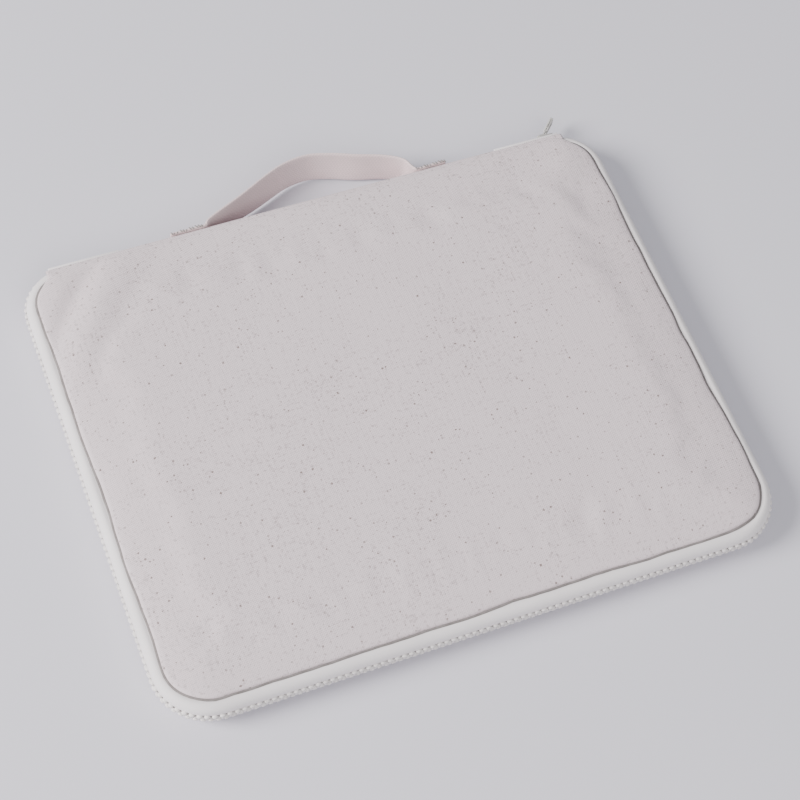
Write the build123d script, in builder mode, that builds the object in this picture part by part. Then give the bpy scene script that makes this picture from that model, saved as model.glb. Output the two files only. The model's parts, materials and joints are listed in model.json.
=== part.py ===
"""Padded laptop sleeve that unzips round three sides and opens like a book.

It lies on its back shell.  +Z is up, +Y points to the carrying handle and +X along the long
side.  The origin is on the floor, under the middle of the seam rectangle.  Millimetres.
"""

from build123d import *
from math import cos, radians, sin
import os

os.makedirs("parts", exist_ok=True)

# ---- Driving sizes -----------------------------------------------------------------------
panel_width = 320.0  # seam to seam, along X
panel_depth = 252.0  # seam to seam, along Y
near_radius = 23.0  # seam corners at the opening side
far_radius = 18.0  # seam corners at the spine side
sleeve_height = 22.0  # closed and lying flat
panel_rim = 2.7  # height of a panel from its seam to its outer face
panel_edge_round = 2.4
canvas = 0.8
lay_gap = 0.05  # between layers that lie on each other

foam_margin = 8.0  # from the seam to the lower step of the foam and to the lining
foam_step = 0.75
lining = 0.5

tape = 0.8
zip_bulge = 5.8  # from the seam out to the middle of the tooth row
tape_flange = 6.5  # sewn margin inside the seam
tape_flange_thickness = 0.6
tape_round = 3.5
binding_outer = 1.0
binding_inner = 7.5
binding = 0.75

tooth_row_width = 3.2
tooth_row_height = 2.2
mesh_gap = 0.3  # from the middle plane to each closed tooth row
open_gap = 1.6  # from the middle plane to each tooth row in front of the slider

spine_length = 230.0
spine_gap = 0.3  # between the spine's edges and the panels over it
spine_foam = 1.1
spine_lining = 0.5
spine_overlap = 6.0  # of the zip ends on the spine
zip_end_reach = 6.0  # how far the closed zip ends run into the corner arcs
fold_gap = 0.5  # between pieces that fold apart

strap_width = 18.5
strap_thickness = 1.6
handle_span = 122.0  # root to root
handle_end = 19.0
handle_gap = 0.4
handle_turn = 30.0  # degrees that the handle swings each way
handle_neck = 1.6  # height of the webbing at its roots, where it turns
backing_length = 28.0
backing_height = 12.0
backing = 1.0
bartack_width = 1.6
bartack_thickness = 0.5
bartack_height = 14.0
bartack_inset = 3.5

slider_length = 10.0
slider_plate = 1.2
slider_half_height = 5.6
slider_lip = 1.0
slider_lip_depth = 1.2
slider_clearance = 0.6
slider_inner_clearance = 1.0
slider_post_length = 2.0
slider_post_inset = 0.6
slider_post_clearance = 0.5
slider_corner = 1.5
slider_travel = 15.0
stop_length = 2.0
stop_margin = 1.5

crown_length = 6.4
crown_height = 3.4
crown_width = 1.8
crown_wall = 0.9
crown_round = 1.2

pull_length = 13.0
pull_width = 5.4
pull_thickness = 1.2
pull_lean = 45.0  # degrees from +X at rest
pull_pin_radius = 0.5
pull_side_gap = 0.5
pull_swing_gap = 0.5

# ---- Worked-out sizes --------------------------------------------------------------------
middle = sleeve_height / 2
seam_rise = middle - panel_rim  # seam height above the middle plane
flange_rise = seam_rise - tape_flange_thickness
foam_rise = flange_rise - lay_gap
lining_rise = foam_rise - foam_step - lay_gap - lining
binding_rise = flange_rise - lay_gap - binding
teeth_rise = mesh_gap + tooth_row_height
open_teeth_rise = open_gap + tooth_row_height

side_seam = panel_width / 2
far_seam = panel_depth / 2
far_track = far_seam + zip_bulge
arc_start = side_seam - far_radius  # X where the straight far wall meets the corner arc
zip_split = arc_start + zip_end_reach  # X where the closed zip ends give way to the shells
spine_face = far_track - tape / 2  # outer face of the spine
spine_half = spine_length / 2
spine_rise = seam_rise - spine_gap
panel_far_reach = spine_face - canvas - spine_foam - lay_gap - far_seam

fold_axis = spine_face - lay_gap
handle_root = handle_span / 2
handle_axis = spine_face + strap_thickness / 2

slider_rest = arc_start
crown_foot = far_track + tooth_row_width / 2 + slider_clearance + slider_plate
pull_axis = crown_foot + (crown_height - crown_wall) / 2
stop_place = slider_rest - slider_length / 2 - slider_travel - stop_length / 2 - stop_margin

# Middle line of the webbing loop, as sideways place and distance out from the handle axis.
loop_line = [
    (-0.98 * handle_root, 0.0),
    (-0.59 * handle_root, 12.6),
    (-0.10 * handle_root, 26.2),
    (0.12 * handle_root, 27.6),
    (0.48 * handle_root, 21.5),
    (0.80 * handle_root, 14.6),
    (0.96 * handle_root, 8.0),
    (0.98 * handle_root, 0.0),
]
loop_bends = [22.0, 30.0, 16.0, 30.0, 14.0, 6.0]


def rise(side, height):
    """Height above the floor of a level that lies height from the middle plane.

    side is 1 for the front shell, on top, and -1 for the back shell, on the floor.
    """
    return middle + side * height


def plan(level, grow, far_reach=None):
    """Draw the rounded plan at a level, grown outwards from the seam line."""
    reach = grow if far_reach is None else far_reach
    with BuildSketch(Plane.XY.offset(level)) as outline:
        with Locations((0, (reach - grow) / 2)):
            Rectangle(panel_width + 2 * grow, panel_depth + grow + reach)
        fillet(outline.vertices().group_by(Axis.Y)[0], near_radius + grow)
        fillet(outline.vertices().group_by(Axis.Y)[-1], far_radius + grow)
    return outline.sketch


def slab(side, low, high, grow, far_reach=None, mode=Mode.ADD):
    """Extrude the plan between two distances from the middle plane."""
    outline = plan(rise(side, low), grow, far_reach)
    extrude(outline, amount=side * (high - low), dir=(0, 0, 1), mode=mode)


def block(x_range, y_range, z_range, mode=Mode.ADD):
    """Add or cut an upright box given by its limits."""
    x_low, x_high = x_range
    y_low, y_high = y_range
    z_low, z_high = z_range
    with BuildSketch(Plane.XY.offset(z_low)) as foot:
        with Locations(((x_low + x_high) / 2, (y_low + y_high) / 2)):
            Rectangle(x_high - x_low, y_high - y_low)
    extrude(foot.sketch, amount=z_high - z_low, dir=(0, 0, 1), mode=mode)


def levels(side, low, high):
    """Floor heights, lowest first, of two distances from the middle plane."""
    return sorted((rise(side, low), rise(side, high)))


def save(piece, name):
    """Label a finished piece and write it."""
    piece.part.label = name
    export_step(piece.part, f"parts/{name}.step")


def open_far_side():
    """Cut a ring open along the spine, where the closed zip ends take over."""
    split_edge = zip_split + fold_gap / 2
    arc_centre = far_seam - far_radius
    block(
        (-split_edge, split_edge),
        (arc_centre, far_seam + 2 * zip_bulge),
        (0, sleeve_height),
        mode=Mode.SUBTRACT,
    )


# ---- Shells ------------------------------------------------------------------------------
def rounded_slab(side, low, high, grow, far_reach, edge_round):
    """Slab whose edge away from the middle plane is rounded."""
    with BuildPart() as body:
        slab(side, low, high, grow, far_reach)
        rim = body.faces().sort_by(Axis.Z)[-1 if side > 0 else 0].edges()
        fillet(rim, edge_round)
    return body.part


def build_panel(side, name):
    """Canvas panel: a shallow tray over the foam, sewn down along its rim."""
    inner_reach = panel_far_reach - canvas
    inner_round = panel_edge_round - canvas
    outside = rounded_slab(side, seam_rise, middle, 0, panel_far_reach, panel_edge_round)
    inside = rounded_slab(side, seam_rise, middle - canvas, -canvas, inner_reach, inner_round)
    with BuildPart() as panel:
        add(outside)
        add(inside, mode=Mode.SUBTRACT)
    save(panel, name)


def build_padding(side, name):
    """Foam sheet, stepped to clear the sewn margin of the zip tape."""
    grow = -canvas - lay_gap
    reach = panel_far_reach + grow
    low = seam_rise + lay_gap
    crown = rounded_slab(side, low, middle - canvas - lay_gap, grow, reach, panel_edge_round - canvas)
    with BuildPart() as padding:
        add(crown)
        slab(side, foam_rise - foam_step, low, -foam_margin)
    save(padding, name)


def build_lining(side, name):
    """Thin inner cloth that faces the laptop."""
    with BuildPart() as cloth:
        slab(side, lining_rise, lining_rise + lining, -foam_margin)
    save(cloth, name)


def build_binding(side, name):
    """Folded strip that covers the raw edges all round the inside."""
    with BuildPart() as strip:
        slab(side, binding_rise, binding_rise + binding, -binding_outer)
        slab(side, binding_rise, binding_rise + binding, -binding_inner, mode=Mode.SUBTRACT)
    save(strip, name)


def build_tape(side, name):
    """Zip tape: a sewn flange that turns over into the side wall, down to its teeth."""
    outer = zip_bulge + tape / 2
    inner = outer - tape
    outside = rounded_slab(side, teeth_rise, seam_rise, outer, outer, tape_round)
    inside = rounded_slab(side, teeth_rise, flange_rise, inner, inner, tape_round - tape)
    with BuildPart() as wall:
        add(outside)
        add(inside, mode=Mode.SUBTRACT)
        slab(side, teeth_rise, seam_rise, -tape_flange, mode=Mode.SUBTRACT)
        open_far_side()
    save(wall, name)


def build_teeth(side, name):
    """Tooth row round the three open sides."""
    outer = zip_bulge + tooth_row_width / 2
    with BuildPart() as row:
        slab(side, mesh_gap, teeth_rise, outer)
        slab(side, mesh_gap, teeth_rise, outer - tooth_row_width, mode=Mode.SUBTRACT)
        open_far_side()
    save(row, name)


for side, shell in ((1, "front"), (-1, "back")):
    build_panel(side, f"{shell}_panel")
    build_padding(side, f"{shell}_padding")
    build_lining(side, f"{shell}_lining")
    build_binding(side, f"{shell}_seam_binding")
    build_tape(side, f"{shell}_zip_tape")
    build_teeth(side, f"{shell}_zip_teeth")


# ---- Spine -------------------------------------------------------------------------------
spine_span = (-spine_half, spine_half)
foam_face = spine_face - canvas - lay_gap
lining_face = foam_face - spine_foam - lay_gap
backing_middle = handle_root + handle_end / 2


def backing_range(end):
    """Places along X of the stiff backing behind one handle end, which is -1 or 1."""
    return end * backing_middle - backing_length / 2, end * backing_middle + backing_length / 2


with BuildPart() as spine_strip:
    block(spine_span, (spine_face - canvas, spine_face), levels(1, -spine_rise, spine_rise))
save(spine_strip, "spine_strip")

with BuildPart() as spine_padding:
    block(spine_span, (foam_face - spine_foam, foam_face), levels(1, -spine_rise, spine_rise))
    for end in (-1, 1):
        patch = backing_range(end)
        pocket = (patch[0] - lay_gap, patch[1] + lay_gap)
        half = backing_height / 2 + lay_gap
        block(pocket, (foam_face - spine_foam, foam_face), levels(1, -half, half), mode=Mode.SUBTRACT)
save(spine_padding, "spine_padding")

with BuildPart() as spine_lining_strip:
    block(spine_span, (lining_face - spine_lining, lining_face), levels(1, -spine_rise, spine_rise))
save(spine_lining_strip, "spine_lining")


def build_zip_end_tape(end, row_top, name):
    """Both tape tails at one end of the zip, from the spine strip into the corner arc."""
    with BuildPart() as tails:
        for side in (-1, 1):
            slab(side, row_top, spine_rise, zip_bulge + tape / 2)
            slab(side, row_top, spine_rise, zip_bulge - tape / 2, mode=Mode.SUBTRACT)
        keep_zip_end(end, spine_half - spine_overlap)
    save(tails, name)


def build_zip_end_teeth(end, row_low, start, name):
    """Both tooth rows at one end of the zip, row_low from the middle plane."""
    outer = zip_bulge + tooth_row_width / 2
    with BuildPart() as rows:
        for side in (-1, 1):
            slab(side, row_low, row_low + tooth_row_height, outer)
            slab(side, row_low, row_low + tooth_row_height, outer - tooth_row_width, mode=Mode.SUBTRACT)
        keep_zip_end(end, start)
    save(rows, name)


def keep_zip_end(end, start):
    """Keep only the part of a ring between start and the split, at one end of the spine."""
    split_edge = zip_split - fold_gap / 2
    x_low, x_high = sorted((end * start, end * split_edge))
    block(
        (x_low, x_high),
        (far_seam - far_radius, far_seam + 2 * zip_bulge),
        (0, sleeve_height),
        mode=Mode.INTERSECT,
    )


def build_stops(end, row_low, row_high, sides, name):
    """Metal stops that end the zip, one solid for each entry of sides."""
    x_low, x_high = sorted((end * (stop_place - stop_length / 2), end * (stop_place + stop_length / 2)))
    y_range = (far_track - tooth_row_width / 2, far_track + tooth_row_width / 2)
    with BuildPart() as stops:
        for side in sides:
            block((x_low, x_high), y_range, levels(side, row_low, row_high))
    save(stops, name)


teeth_start = stop_place + stop_length / 2 + lay_gap
build_zip_end_tape(1, open_teeth_rise, "right_zip_end_tapes")
build_zip_end_tape(-1, teeth_rise, "left_zip_end_tapes")
build_zip_end_teeth(1, open_gap, teeth_start, "right_zip_end_teeth")
build_zip_end_teeth(-1, mesh_gap, teeth_start, "left_zip_end_teeth")
build_stops(1, open_gap, open_teeth_rise, (-1, 1), "zip_top_stops")
build_stops(-1, -teeth_rise, teeth_rise, (1,), "zip_bottom_stop")

# ---- Handle ------------------------------------------------------------------------------
strap_rise = strap_width / 2

for end, name in ((-1, "left"), (1, "right")):
    x_range = sorted((end * (handle_root + handle_gap), end * (handle_root + handle_end)))
    with BuildPart() as sewn_end:
        block(x_range, (spine_face, spine_face + strap_thickness), levels(1, -strap_rise, strap_rise))
    save(sewn_end, f"handle_end_{name}")

    backing_z = levels(1, -backing_height / 2, backing_height / 2)
    with BuildPart() as patch_piece:
        block(backing_range(end), (foam_face - backing, foam_face), backing_z)
    save(patch_piece, f"handle_backing_{name}")

    stitched_face = spine_face + strap_thickness
    with BuildPart() as bartacks:
        for place in (handle_root + bartack_inset, handle_root + handle_end - bartack_inset):
            block(
                (end * place - bartack_width / 2, end * place + bartack_width / 2),
                (stitched_face, stitched_face + bartack_thickness),
                levels(1, -bartack_height / 2, bartack_height / 2),
            )
    save(bartacks, f"handle_bartacks_{name}")

with BuildPart() as handle_loop:
    with BuildSketch(Plane.XY.offset(rise(1, -strap_rise))):
        with BuildLine():
            FilletPolyline(*[(x, handle_axis + out) for x, out in loop_line], radius=loop_bends)
        trace(line_width=strap_thickness)
    extrude(amount=strap_width)
    # The webbing narrows to its roots, so that it clears the spine as the handle swings.
    strap_edge = strap_rise + lay_gap
    block(
        (-handle_span, handle_span),
        (spine_face - strap_thickness, handle_axis),
        levels(1, -strap_edge, strap_edge),
        mode=Mode.SUBTRACT,
    )
    swing = radians(handle_turn)
    clear_reach = strap_rise * sin(swing) / cos(swing) + handle_gap
    for side in (-1, 1):
        edge_level = rise(side, strap_edge)
        with BuildSketch(Plane.YZ.offset(-handle_span)):
            with BuildLine():
                Polyline(
                    (handle_axis, rise(side, handle_neck / 2)),
                    (handle_axis + clear_reach, edge_level),
                    (handle_axis, edge_level),
                    close=True,
                )
            make_face()
        extrude(amount=2 * handle_span, dir=(1, 0, 0), mode=Mode.SUBTRACT)
save(handle_loop, "handle_loop")

# ---- Slider and pull ---------------------------------------------------------------------
outer_plate_face = crown_foot - slider_plate
inner_plate_face = far_track - tooth_row_width / 2 - slider_inner_clearance
slider_lip_rise = slider_half_height - slider_lip
slider_x = (slider_rest - slider_length / 2, slider_rest + slider_length / 2)
slider_z = levels(1, -slider_half_height, slider_half_height)
post_rise = open_gap - slider_post_clearance

with BuildPart() as slider_body:
    block(slider_x, (outer_plate_face, crown_foot), slider_z)
    block(slider_x, (inner_plate_face - slider_plate, inner_plate_face), slider_z)
    fillet(slider_body.edges().filter_by(Axis.Y), slider_corner)
    for side in (-1, 1):
        lip_z = levels(side, slider_lip_rise, slider_half_height)
        lip_x = (slider_x[0] + slider_corner, slider_x[1] - slider_corner)
        block(lip_x, (outer_plate_face - slider_lip_depth, outer_plate_face), lip_z)
        block(lip_x, (inner_plate_face, inner_plate_face + slider_lip_depth), lip_z)
    post_x = (slider_x[0] + slider_post_inset, slider_x[0] + slider_post_inset + slider_post_length)
    block(post_x, (inner_plate_face, outer_plate_face), levels(1, -post_rise, post_rise))
save(slider_body, "slider_body")

with BuildPart() as slider_crown:
    with BuildSketch(Plane.XY.offset(rise(1, -crown_width / 2))) as arch:
        with Locations((slider_rest, crown_foot + crown_height / 2)):
            Rectangle(crown_length, crown_height)
        fillet(arch.vertices().group_by(Axis.Y)[-1], crown_round)
        with Locations((slider_rest, crown_foot + (crown_height - crown_wall) / 2)):
            Rectangle(
                crown_length - 2 * crown_wall, crown_height - crown_wall, mode=Mode.SUBTRACT
            )
    extrude(amount=crown_width)
save(slider_crown, "slider_crown")

# The pull is a flat tab with a window at its root, where a pin turns under the crown.
lean = radians(pull_lean)
pull_plane = Plane(
    origin=(slider_rest, pull_axis, middle),
    x_dir=(cos(lean), sin(lean), 0),
    z_dir=(sin(lean), -cos(lean), 0),
)
pin_plane = Plane.XY.offset(rise(1, -pull_width / 2))
window_reach = crown_length / 2 + crown_wall + pull_swing_gap
window_half = crown_width / 2 + pull_side_gap

with BuildPart() as pull_tab:
    with BuildSketch(pull_plane) as tab:
        with Locations((pull_length / 2, 0)):
            Rectangle(pull_length, pull_width)
        fillet(tab.vertices().group_by(Axis.X)[-1], pull_width / 3)
        with Locations((window_reach / 2, 0)):
            Rectangle(window_reach, 2 * window_half, mode=Mode.SUBTRACT)
    extrude(amount=pull_thickness / 2, both=True)
    with BuildSketch(pin_plane):
        with Locations((slider_rest, pull_axis)):
            Circle(pull_pin_radius)
    extrude(amount=pull_width)
save(pull_tab, "pull_tab")
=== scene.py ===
import json
import logging
import math
from dataclasses import dataclass
from enum import Enum
from typing import Callable, Sequence

import bmesh
import bpy
from mathutils import Matrix, Vector, noise


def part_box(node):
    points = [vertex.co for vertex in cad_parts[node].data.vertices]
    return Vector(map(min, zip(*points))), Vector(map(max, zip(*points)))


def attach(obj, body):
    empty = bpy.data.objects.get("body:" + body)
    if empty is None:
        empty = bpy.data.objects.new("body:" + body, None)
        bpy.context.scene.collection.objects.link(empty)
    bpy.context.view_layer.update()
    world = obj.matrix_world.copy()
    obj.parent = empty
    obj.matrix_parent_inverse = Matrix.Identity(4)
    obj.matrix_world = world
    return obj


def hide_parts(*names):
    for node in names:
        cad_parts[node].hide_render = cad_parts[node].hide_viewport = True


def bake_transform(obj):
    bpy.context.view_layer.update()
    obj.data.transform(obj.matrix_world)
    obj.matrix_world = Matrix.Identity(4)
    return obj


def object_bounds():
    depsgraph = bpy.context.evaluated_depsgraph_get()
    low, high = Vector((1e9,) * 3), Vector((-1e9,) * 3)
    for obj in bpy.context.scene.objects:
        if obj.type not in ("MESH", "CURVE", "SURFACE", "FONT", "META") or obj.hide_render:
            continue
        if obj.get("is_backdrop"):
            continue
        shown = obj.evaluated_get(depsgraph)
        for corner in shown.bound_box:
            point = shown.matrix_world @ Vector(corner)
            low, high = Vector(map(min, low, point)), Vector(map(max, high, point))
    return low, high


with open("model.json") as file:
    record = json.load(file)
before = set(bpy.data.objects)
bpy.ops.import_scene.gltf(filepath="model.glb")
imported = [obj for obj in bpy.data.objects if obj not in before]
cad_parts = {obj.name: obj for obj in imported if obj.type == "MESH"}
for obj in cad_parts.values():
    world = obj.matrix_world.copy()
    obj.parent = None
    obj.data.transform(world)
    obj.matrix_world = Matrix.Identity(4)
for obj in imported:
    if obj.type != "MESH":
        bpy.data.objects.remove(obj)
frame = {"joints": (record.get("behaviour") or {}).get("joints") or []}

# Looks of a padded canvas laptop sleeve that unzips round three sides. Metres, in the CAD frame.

log = logging.getLogger("sleeve")
MM = 0.001
Colour = tuple[float, float, float, float]
Socket = bpy.types.NodeSocket
Node = bpy.types.Node
TRACK_REACH = 5.8 * MM
TRACK_SPLIT = 148.25 * MM
NEAR_RADIUS = 23 * MM
FAR_RADIUS = 18 * MM
OVERHANG_END = 155 * MM


class Side(Enum):
    """Which shell a piece belongs to; the value is its direction from the middle plane."""

    FRONT = 1
    BACK = -1

    @property
    def word(self) -> str:
        """Shell name as used by the CAD nodes."""
        return self.name.lower()

    @property
    def body(self) -> str:
        """CAD body that the shell's pieces ride on."""
        return f"{self.word}_shell"


# ---- Shader groups -----------------------------------------------------------------------
def new_group(name: str, inputs: Sequence[tuple[str, str, float]],
              outputs: Sequence[tuple[str, str]]) -> tuple[bpy.types.NodeTree, Node, Node]:
    """Start a shader node group with named sockets.

    Args:
        name: Name of the group.
        inputs: Name, socket type and default value of each input.
        outputs: Name and socket type of each output.

    Returns:
        The group with its input and output nodes.
    """
    group = bpy.data.node_groups.new(name, "ShaderNodeTree")
    for label, kind, value in inputs:
        socket = group.interface.new_socket(label, in_out="INPUT", socket_type=kind)
        if kind == "NodeSocketFloat":
            socket.default_value = value
    for label, kind in outputs:
        group.interface.new_socket(label, in_out="OUTPUT", socket_type=kind)
    return group, group.nodes.new("NodeGroupInput"), group.nodes.new("NodeGroupOutput")


@dataclass
class Wiring:
    """Short ways to add nodes to one node tree."""

    tree: bpy.types.NodeTree

    def link(self, source: Socket, target: Socket) -> None:
        """Join two sockets."""
        self.tree.links.new(source, target)

    def put(self, target: Socket, value: Socket | Colour | float) -> None:
        """Set a socket to a number, or link another socket to it."""
        if isinstance(value, bpy.types.NodeSocket):
            self.link(value, target)
        else:
            target.default_value = value

    def math(self, operation: str, first: Socket | float, second: Socket | float = 0.0,
             third: Socket | float = 0.0) -> Socket:
        """Add a Math node.

        Args:
            operation: The node's operation.
            first: First value.
            second: Second value, where the operation has one.
            third: Third value, where the operation has one.

        Returns:
            The node's result.
        """
        node = self.tree.nodes.new("ShaderNodeMath")
        node.operation = operation
        self.put(node.inputs[0], first)
        self.put(node.inputs[1], second)
        self.put(node.inputs[2], third)
        return node.outputs[0]

    def scaled(self, vector: Socket, scale: tuple[float, float, float]) -> Socket:
        """Scale a vector axis by axis."""
        node = self.tree.nodes.new("ShaderNodeVectorMath")
        node.operation = "MULTIPLY"
        self.link(vector, node.inputs[0])
        node.inputs[1].default_value = scale
        return node.outputs[0]

    def noise(self, vector: Socket, scale: float, detail: float = 2.0, roughness: float = 0.5) -> Socket:
        """Add a Noise texture.

        Args:
            vector: Place that it is read at.
            scale: How many swells it has in a metre.
            detail: Layers of finer noise.
            roughness: Strength of the finer layers.

        Returns:
            Its factor.
        """
        node = self.tree.nodes.new("ShaderNodeTexNoise")
        self.link(vector, node.inputs["Vector"])
        node.inputs["Scale"].default_value = scale
        node.inputs["Detail"].default_value = detail
        node.inputs["Roughness"].default_value = roughness
        return node.outputs[0]

    def ramp(self, value: Socket, low: float, high: float, start: float = 0.0, end: float = 1.0) -> Socket:
        """Map a value from one range to another, clamped and smooth.

        Args:
            value: The value.
            low: Where its range begins.
            high: Where its range ends.
            start: Result at the range's beginning.
            end: Result at the range's end.

        Returns:
            The mapped value.
        """
        node = self.tree.nodes.new("ShaderNodeMapRange")
        node.interpolation_type = "SMOOTHSTEP"
        self.put(node.inputs["Value"], value)
        node.inputs["From Min"].default_value = low
        node.inputs["From Max"].default_value = high
        node.inputs["To Min"].default_value = start
        node.inputs["To Max"].default_value = end
        return node.outputs["Result"]

    def mix(self, share: Socket, first: Socket | Colour, second: Socket | Colour) -> Socket:
        """Mix two colours.

        Args:
            share: Share of the second colour.
            first: First colour.
            second: Second colour.

        Returns:
            The mixed colour.
        """
        node = self.tree.nodes.new("ShaderNodeMix")
        node.data_type = "RGBA"
        self.put(node.inputs["Factor"], share)
        self.put(node.inputs[6], first)
        self.put(node.inputs[7], second)
        return node.outputs[2]


def build_weave_group() -> bpy.types.NodeTree:
    """Plain weave with slubs: puts out thread height and a tone that differs thread by thread."""
    group, entry, leave = new_group(
        "plain_weave",
        [("Vector", "NodeSocketVector", 0.0), ("Threads", "NodeSocketFloat", 1600.0)],
        [("Height", "NodeSocketFloat"), ("Tone", "NodeSocketFloat")],
    )
    wire = Wiring(group)
    split = group.nodes.new("ShaderNodeSeparateXYZ")
    wire.link(entry.outputs["Vector"], split.inputs[0])
    across = wire.math("ADD", split.outputs[0], wire.math("MULTIPLY", split.outputs[2], 0.83))
    along = wire.math("ADD", split.outputs[1], wire.math("MULTIPLY", split.outputs[2], 0.79))
    turn = wire.math("MULTIPLY", entry.outputs["Threads"], math.pi)
    warp = wire.math("SINE", wire.math("MULTIPLY", across, turn))
    weft = wire.math("SINE", wire.math("MULTIPLY", along, turn))
    check = wire.math("MULTIPLY", warp, weft)
    weft_slub = wire.noise(wire.scaled(entry.outputs["Vector"], (60.0, 900.0, 300.0)), 1.0, 3.0)
    warp_slub = wire.noise(wire.scaled(entry.outputs["Vector"], (900.0, 60.0, 300.0)), 1.0, 3.0)
    slub = wire.math("ADD", weft_slub, warp_slub)
    grain = wire.noise(entry.outputs["Vector"], 1500.0, 2.0, 0.7)
    height = wire.math("MULTIPLY_ADD", check, 0.22, wire.math("MULTIPLY", slub, 0.5))
    wire.link(wire.math("MULTIPLY_ADD", grain, 0.45, height), leave.inputs["Height"])
    nub = wire.noise(entry.outputs["Vector"], 620.0, 3.0, 0.65)
    thread_tone = wire.math("MULTIPLY_ADD", nub, 0.6, wire.math("MULTIPLY", slub, 0.2))
    wire.link(wire.math("MULTIPLY_ADD", grain, 0.2, thread_tone), leave.inputs["Tone"])
    return group


def build_fleck_group() -> bpy.types.NodeTree:
    """Seed flecks of natural cotton: small irregular spots of many sizes."""
    group, entry, leave = new_group(
        "seed_flecks",
        [("Vector", "NodeSocketVector", 0.0), ("Density", "NodeSocketFloat", 260.0),
         ("Size", "NodeSocketFloat", 0.1)],
        [("Mask", "NodeSocketFloat")],
    )
    wire = Wiring(group)
    ragged = group.nodes.new("ShaderNodeTexNoise")
    wire.link(entry.outputs["Vector"], ragged.inputs["Vector"])
    ragged.inputs["Scale"].default_value = 1400.0
    shake = group.nodes.new("ShaderNodeVectorMath")
    shake.operation = "MULTIPLY_ADD"
    wire.link(ragged.outputs["Color"], shake.inputs[0])
    shake.inputs[1].default_value = (0.0009, 0.0009, 0.0009)
    wire.link(entry.outputs["Vector"], shake.inputs[2])
    cells = group.nodes.new("ShaderNodeTexVoronoi")
    wire.link(shake.outputs[0], cells.inputs["Vector"])
    wire.link(entry.outputs["Density"], cells.inputs["Scale"])
    split = group.nodes.new("ShaderNodeSeparateColor")
    wire.link(cells.outputs["Color"], split.inputs[0])
    size = wire.math("MULTIPLY", entry.outputs["Size"], wire.math("POWER", split.outputs[0], 3.0))
    edge = wire.math("SUBTRACT", size, cells.outputs["Distance"])
    spot = wire.ramp(edge, -0.02, 0.03)
    strength = wire.math("MULTIPLY_ADD", split.outputs[1], 0.7, 0.3)
    wire.link(wire.math("MULTIPLY", spot, strength), leave.inputs["Mask"])
    return group


def build_mottle_group() -> bpy.types.NodeTree:
    """Slow change of shade over a surface, from handling and uneven dye."""
    group, entry, leave = new_group(
        "handled_mottle",
        [("Vector", "NodeSocketVector", 0.0), ("Scale", "NodeSocketFloat", 14.0)],
        [("Shade", "NodeSocketFloat")],
    )
    wire = Wiring(group)
    soft = group.nodes.new("ShaderNodeTexNoise")
    wire.link(entry.outputs["Vector"], soft.inputs["Vector"])
    wire.link(entry.outputs["Scale"], soft.inputs["Scale"])
    soft.inputs["Detail"].default_value = 4.0
    wire.link(soft.outputs[0], leave.inputs["Shade"])
    return group


def build_rib_group() -> bpy.types.NodeTree:
    """Ribs of woven tape and webbing: fine chevrons that run along the piece's own UV map."""
    group, entry, leave = new_group(
        "tape_ribs",
        [("Vector", "NodeSocketVector", 0.0), ("Ribs", "NodeSocketFloat", 1500.0),
         ("Slant", "NodeSocketFloat", 1.0)],
        [("Height", "NodeSocketFloat"), ("Tone", "NodeSocketFloat")],
    )
    wire = Wiring(group)
    split = group.nodes.new("ShaderNodeSeparateXYZ")
    wire.link(entry.outputs["Vector"], split.inputs[0])
    fold = wire.math("PINGPONG", split.outputs[1], 0.0016)
    lean = wire.math("MULTIPLY_ADD", fold, entry.outputs["Slant"], split.outputs[0])
    rib_turn = wire.math("MULTIPLY", entry.outputs["Ribs"], math.pi)
    pick_turn = wire.math("MULTIPLY", entry.outputs["Ribs"], 4.2)
    rib = wire.math("SINE", wire.math("MULTIPLY", lean, rib_turn))
    pick = wire.math("SINE", wire.math("MULTIPLY", split.outputs[1], pick_turn))
    grain = wire.noise(entry.outputs["Vector"], 1800.0, 2.0, 0.6)
    height = wire.math("MULTIPLY_ADD", rib, 0.3, wire.math("MULTIPLY", pick, 0.16))
    wire.link(wire.math("MULTIPLY_ADD", grain, 0.4, height), leave.inputs["Height"])
    wire.link(grain, leave.inputs["Tone"])
    return group


GROUPS = {
    "weave": build_weave_group(),
    "flecks": build_fleck_group(),
    "mottle": build_mottle_group(),
    "ribs": build_rib_group(),
}


# ---- Finishes ----------------------------------------------------------------------------
class Finish:
    """A named material, built once and shared by the pieces that wear it."""

    name: str

    def shader(self, wire: Wiring, surface: Node) -> None:
        """Wire the pattern nodes to the surface shader."""
        raise NotImplementedError

    def material(self) -> bpy.types.Material:
        """Return the finish's material, made on first use."""
        found = bpy.data.materials.get(self.name)
        if found is not None:
            return found
        made = bpy.data.materials.new(self.name)
        made.use_nodes = True
        self.shader(Wiring(made.node_tree), made.node_tree.nodes["Principled BSDF"])
        return made


def group_node(wire: Wiring, key: str, vector: Socket, **values: float) -> Node:
    """Place a shared group in a material.

    Args:
        wire: Wiring of the material.
        key: Which group.
        vector: Place that its pattern is read at.
        **values: Values of its other sockets, by name.

    Returns:
        The group's node.
    """
    node = wire.tree.nodes.new("ShaderNodeGroup")
    node.node_tree = GROUPS[key]
    wire.link(vector, node.inputs["Vector"])
    for label, value in values.items():
        node.inputs[label].default_value = value
    return node


def coordinates(wire: Wiring, own_map: bool = False) -> Socket:
    """Vector socket of Object coordinates, or of the piece's own UV map."""
    node = wire.tree.nodes.new("ShaderNodeTexCoord")
    return node.outputs["UV" if own_map else "Object"]


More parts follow.
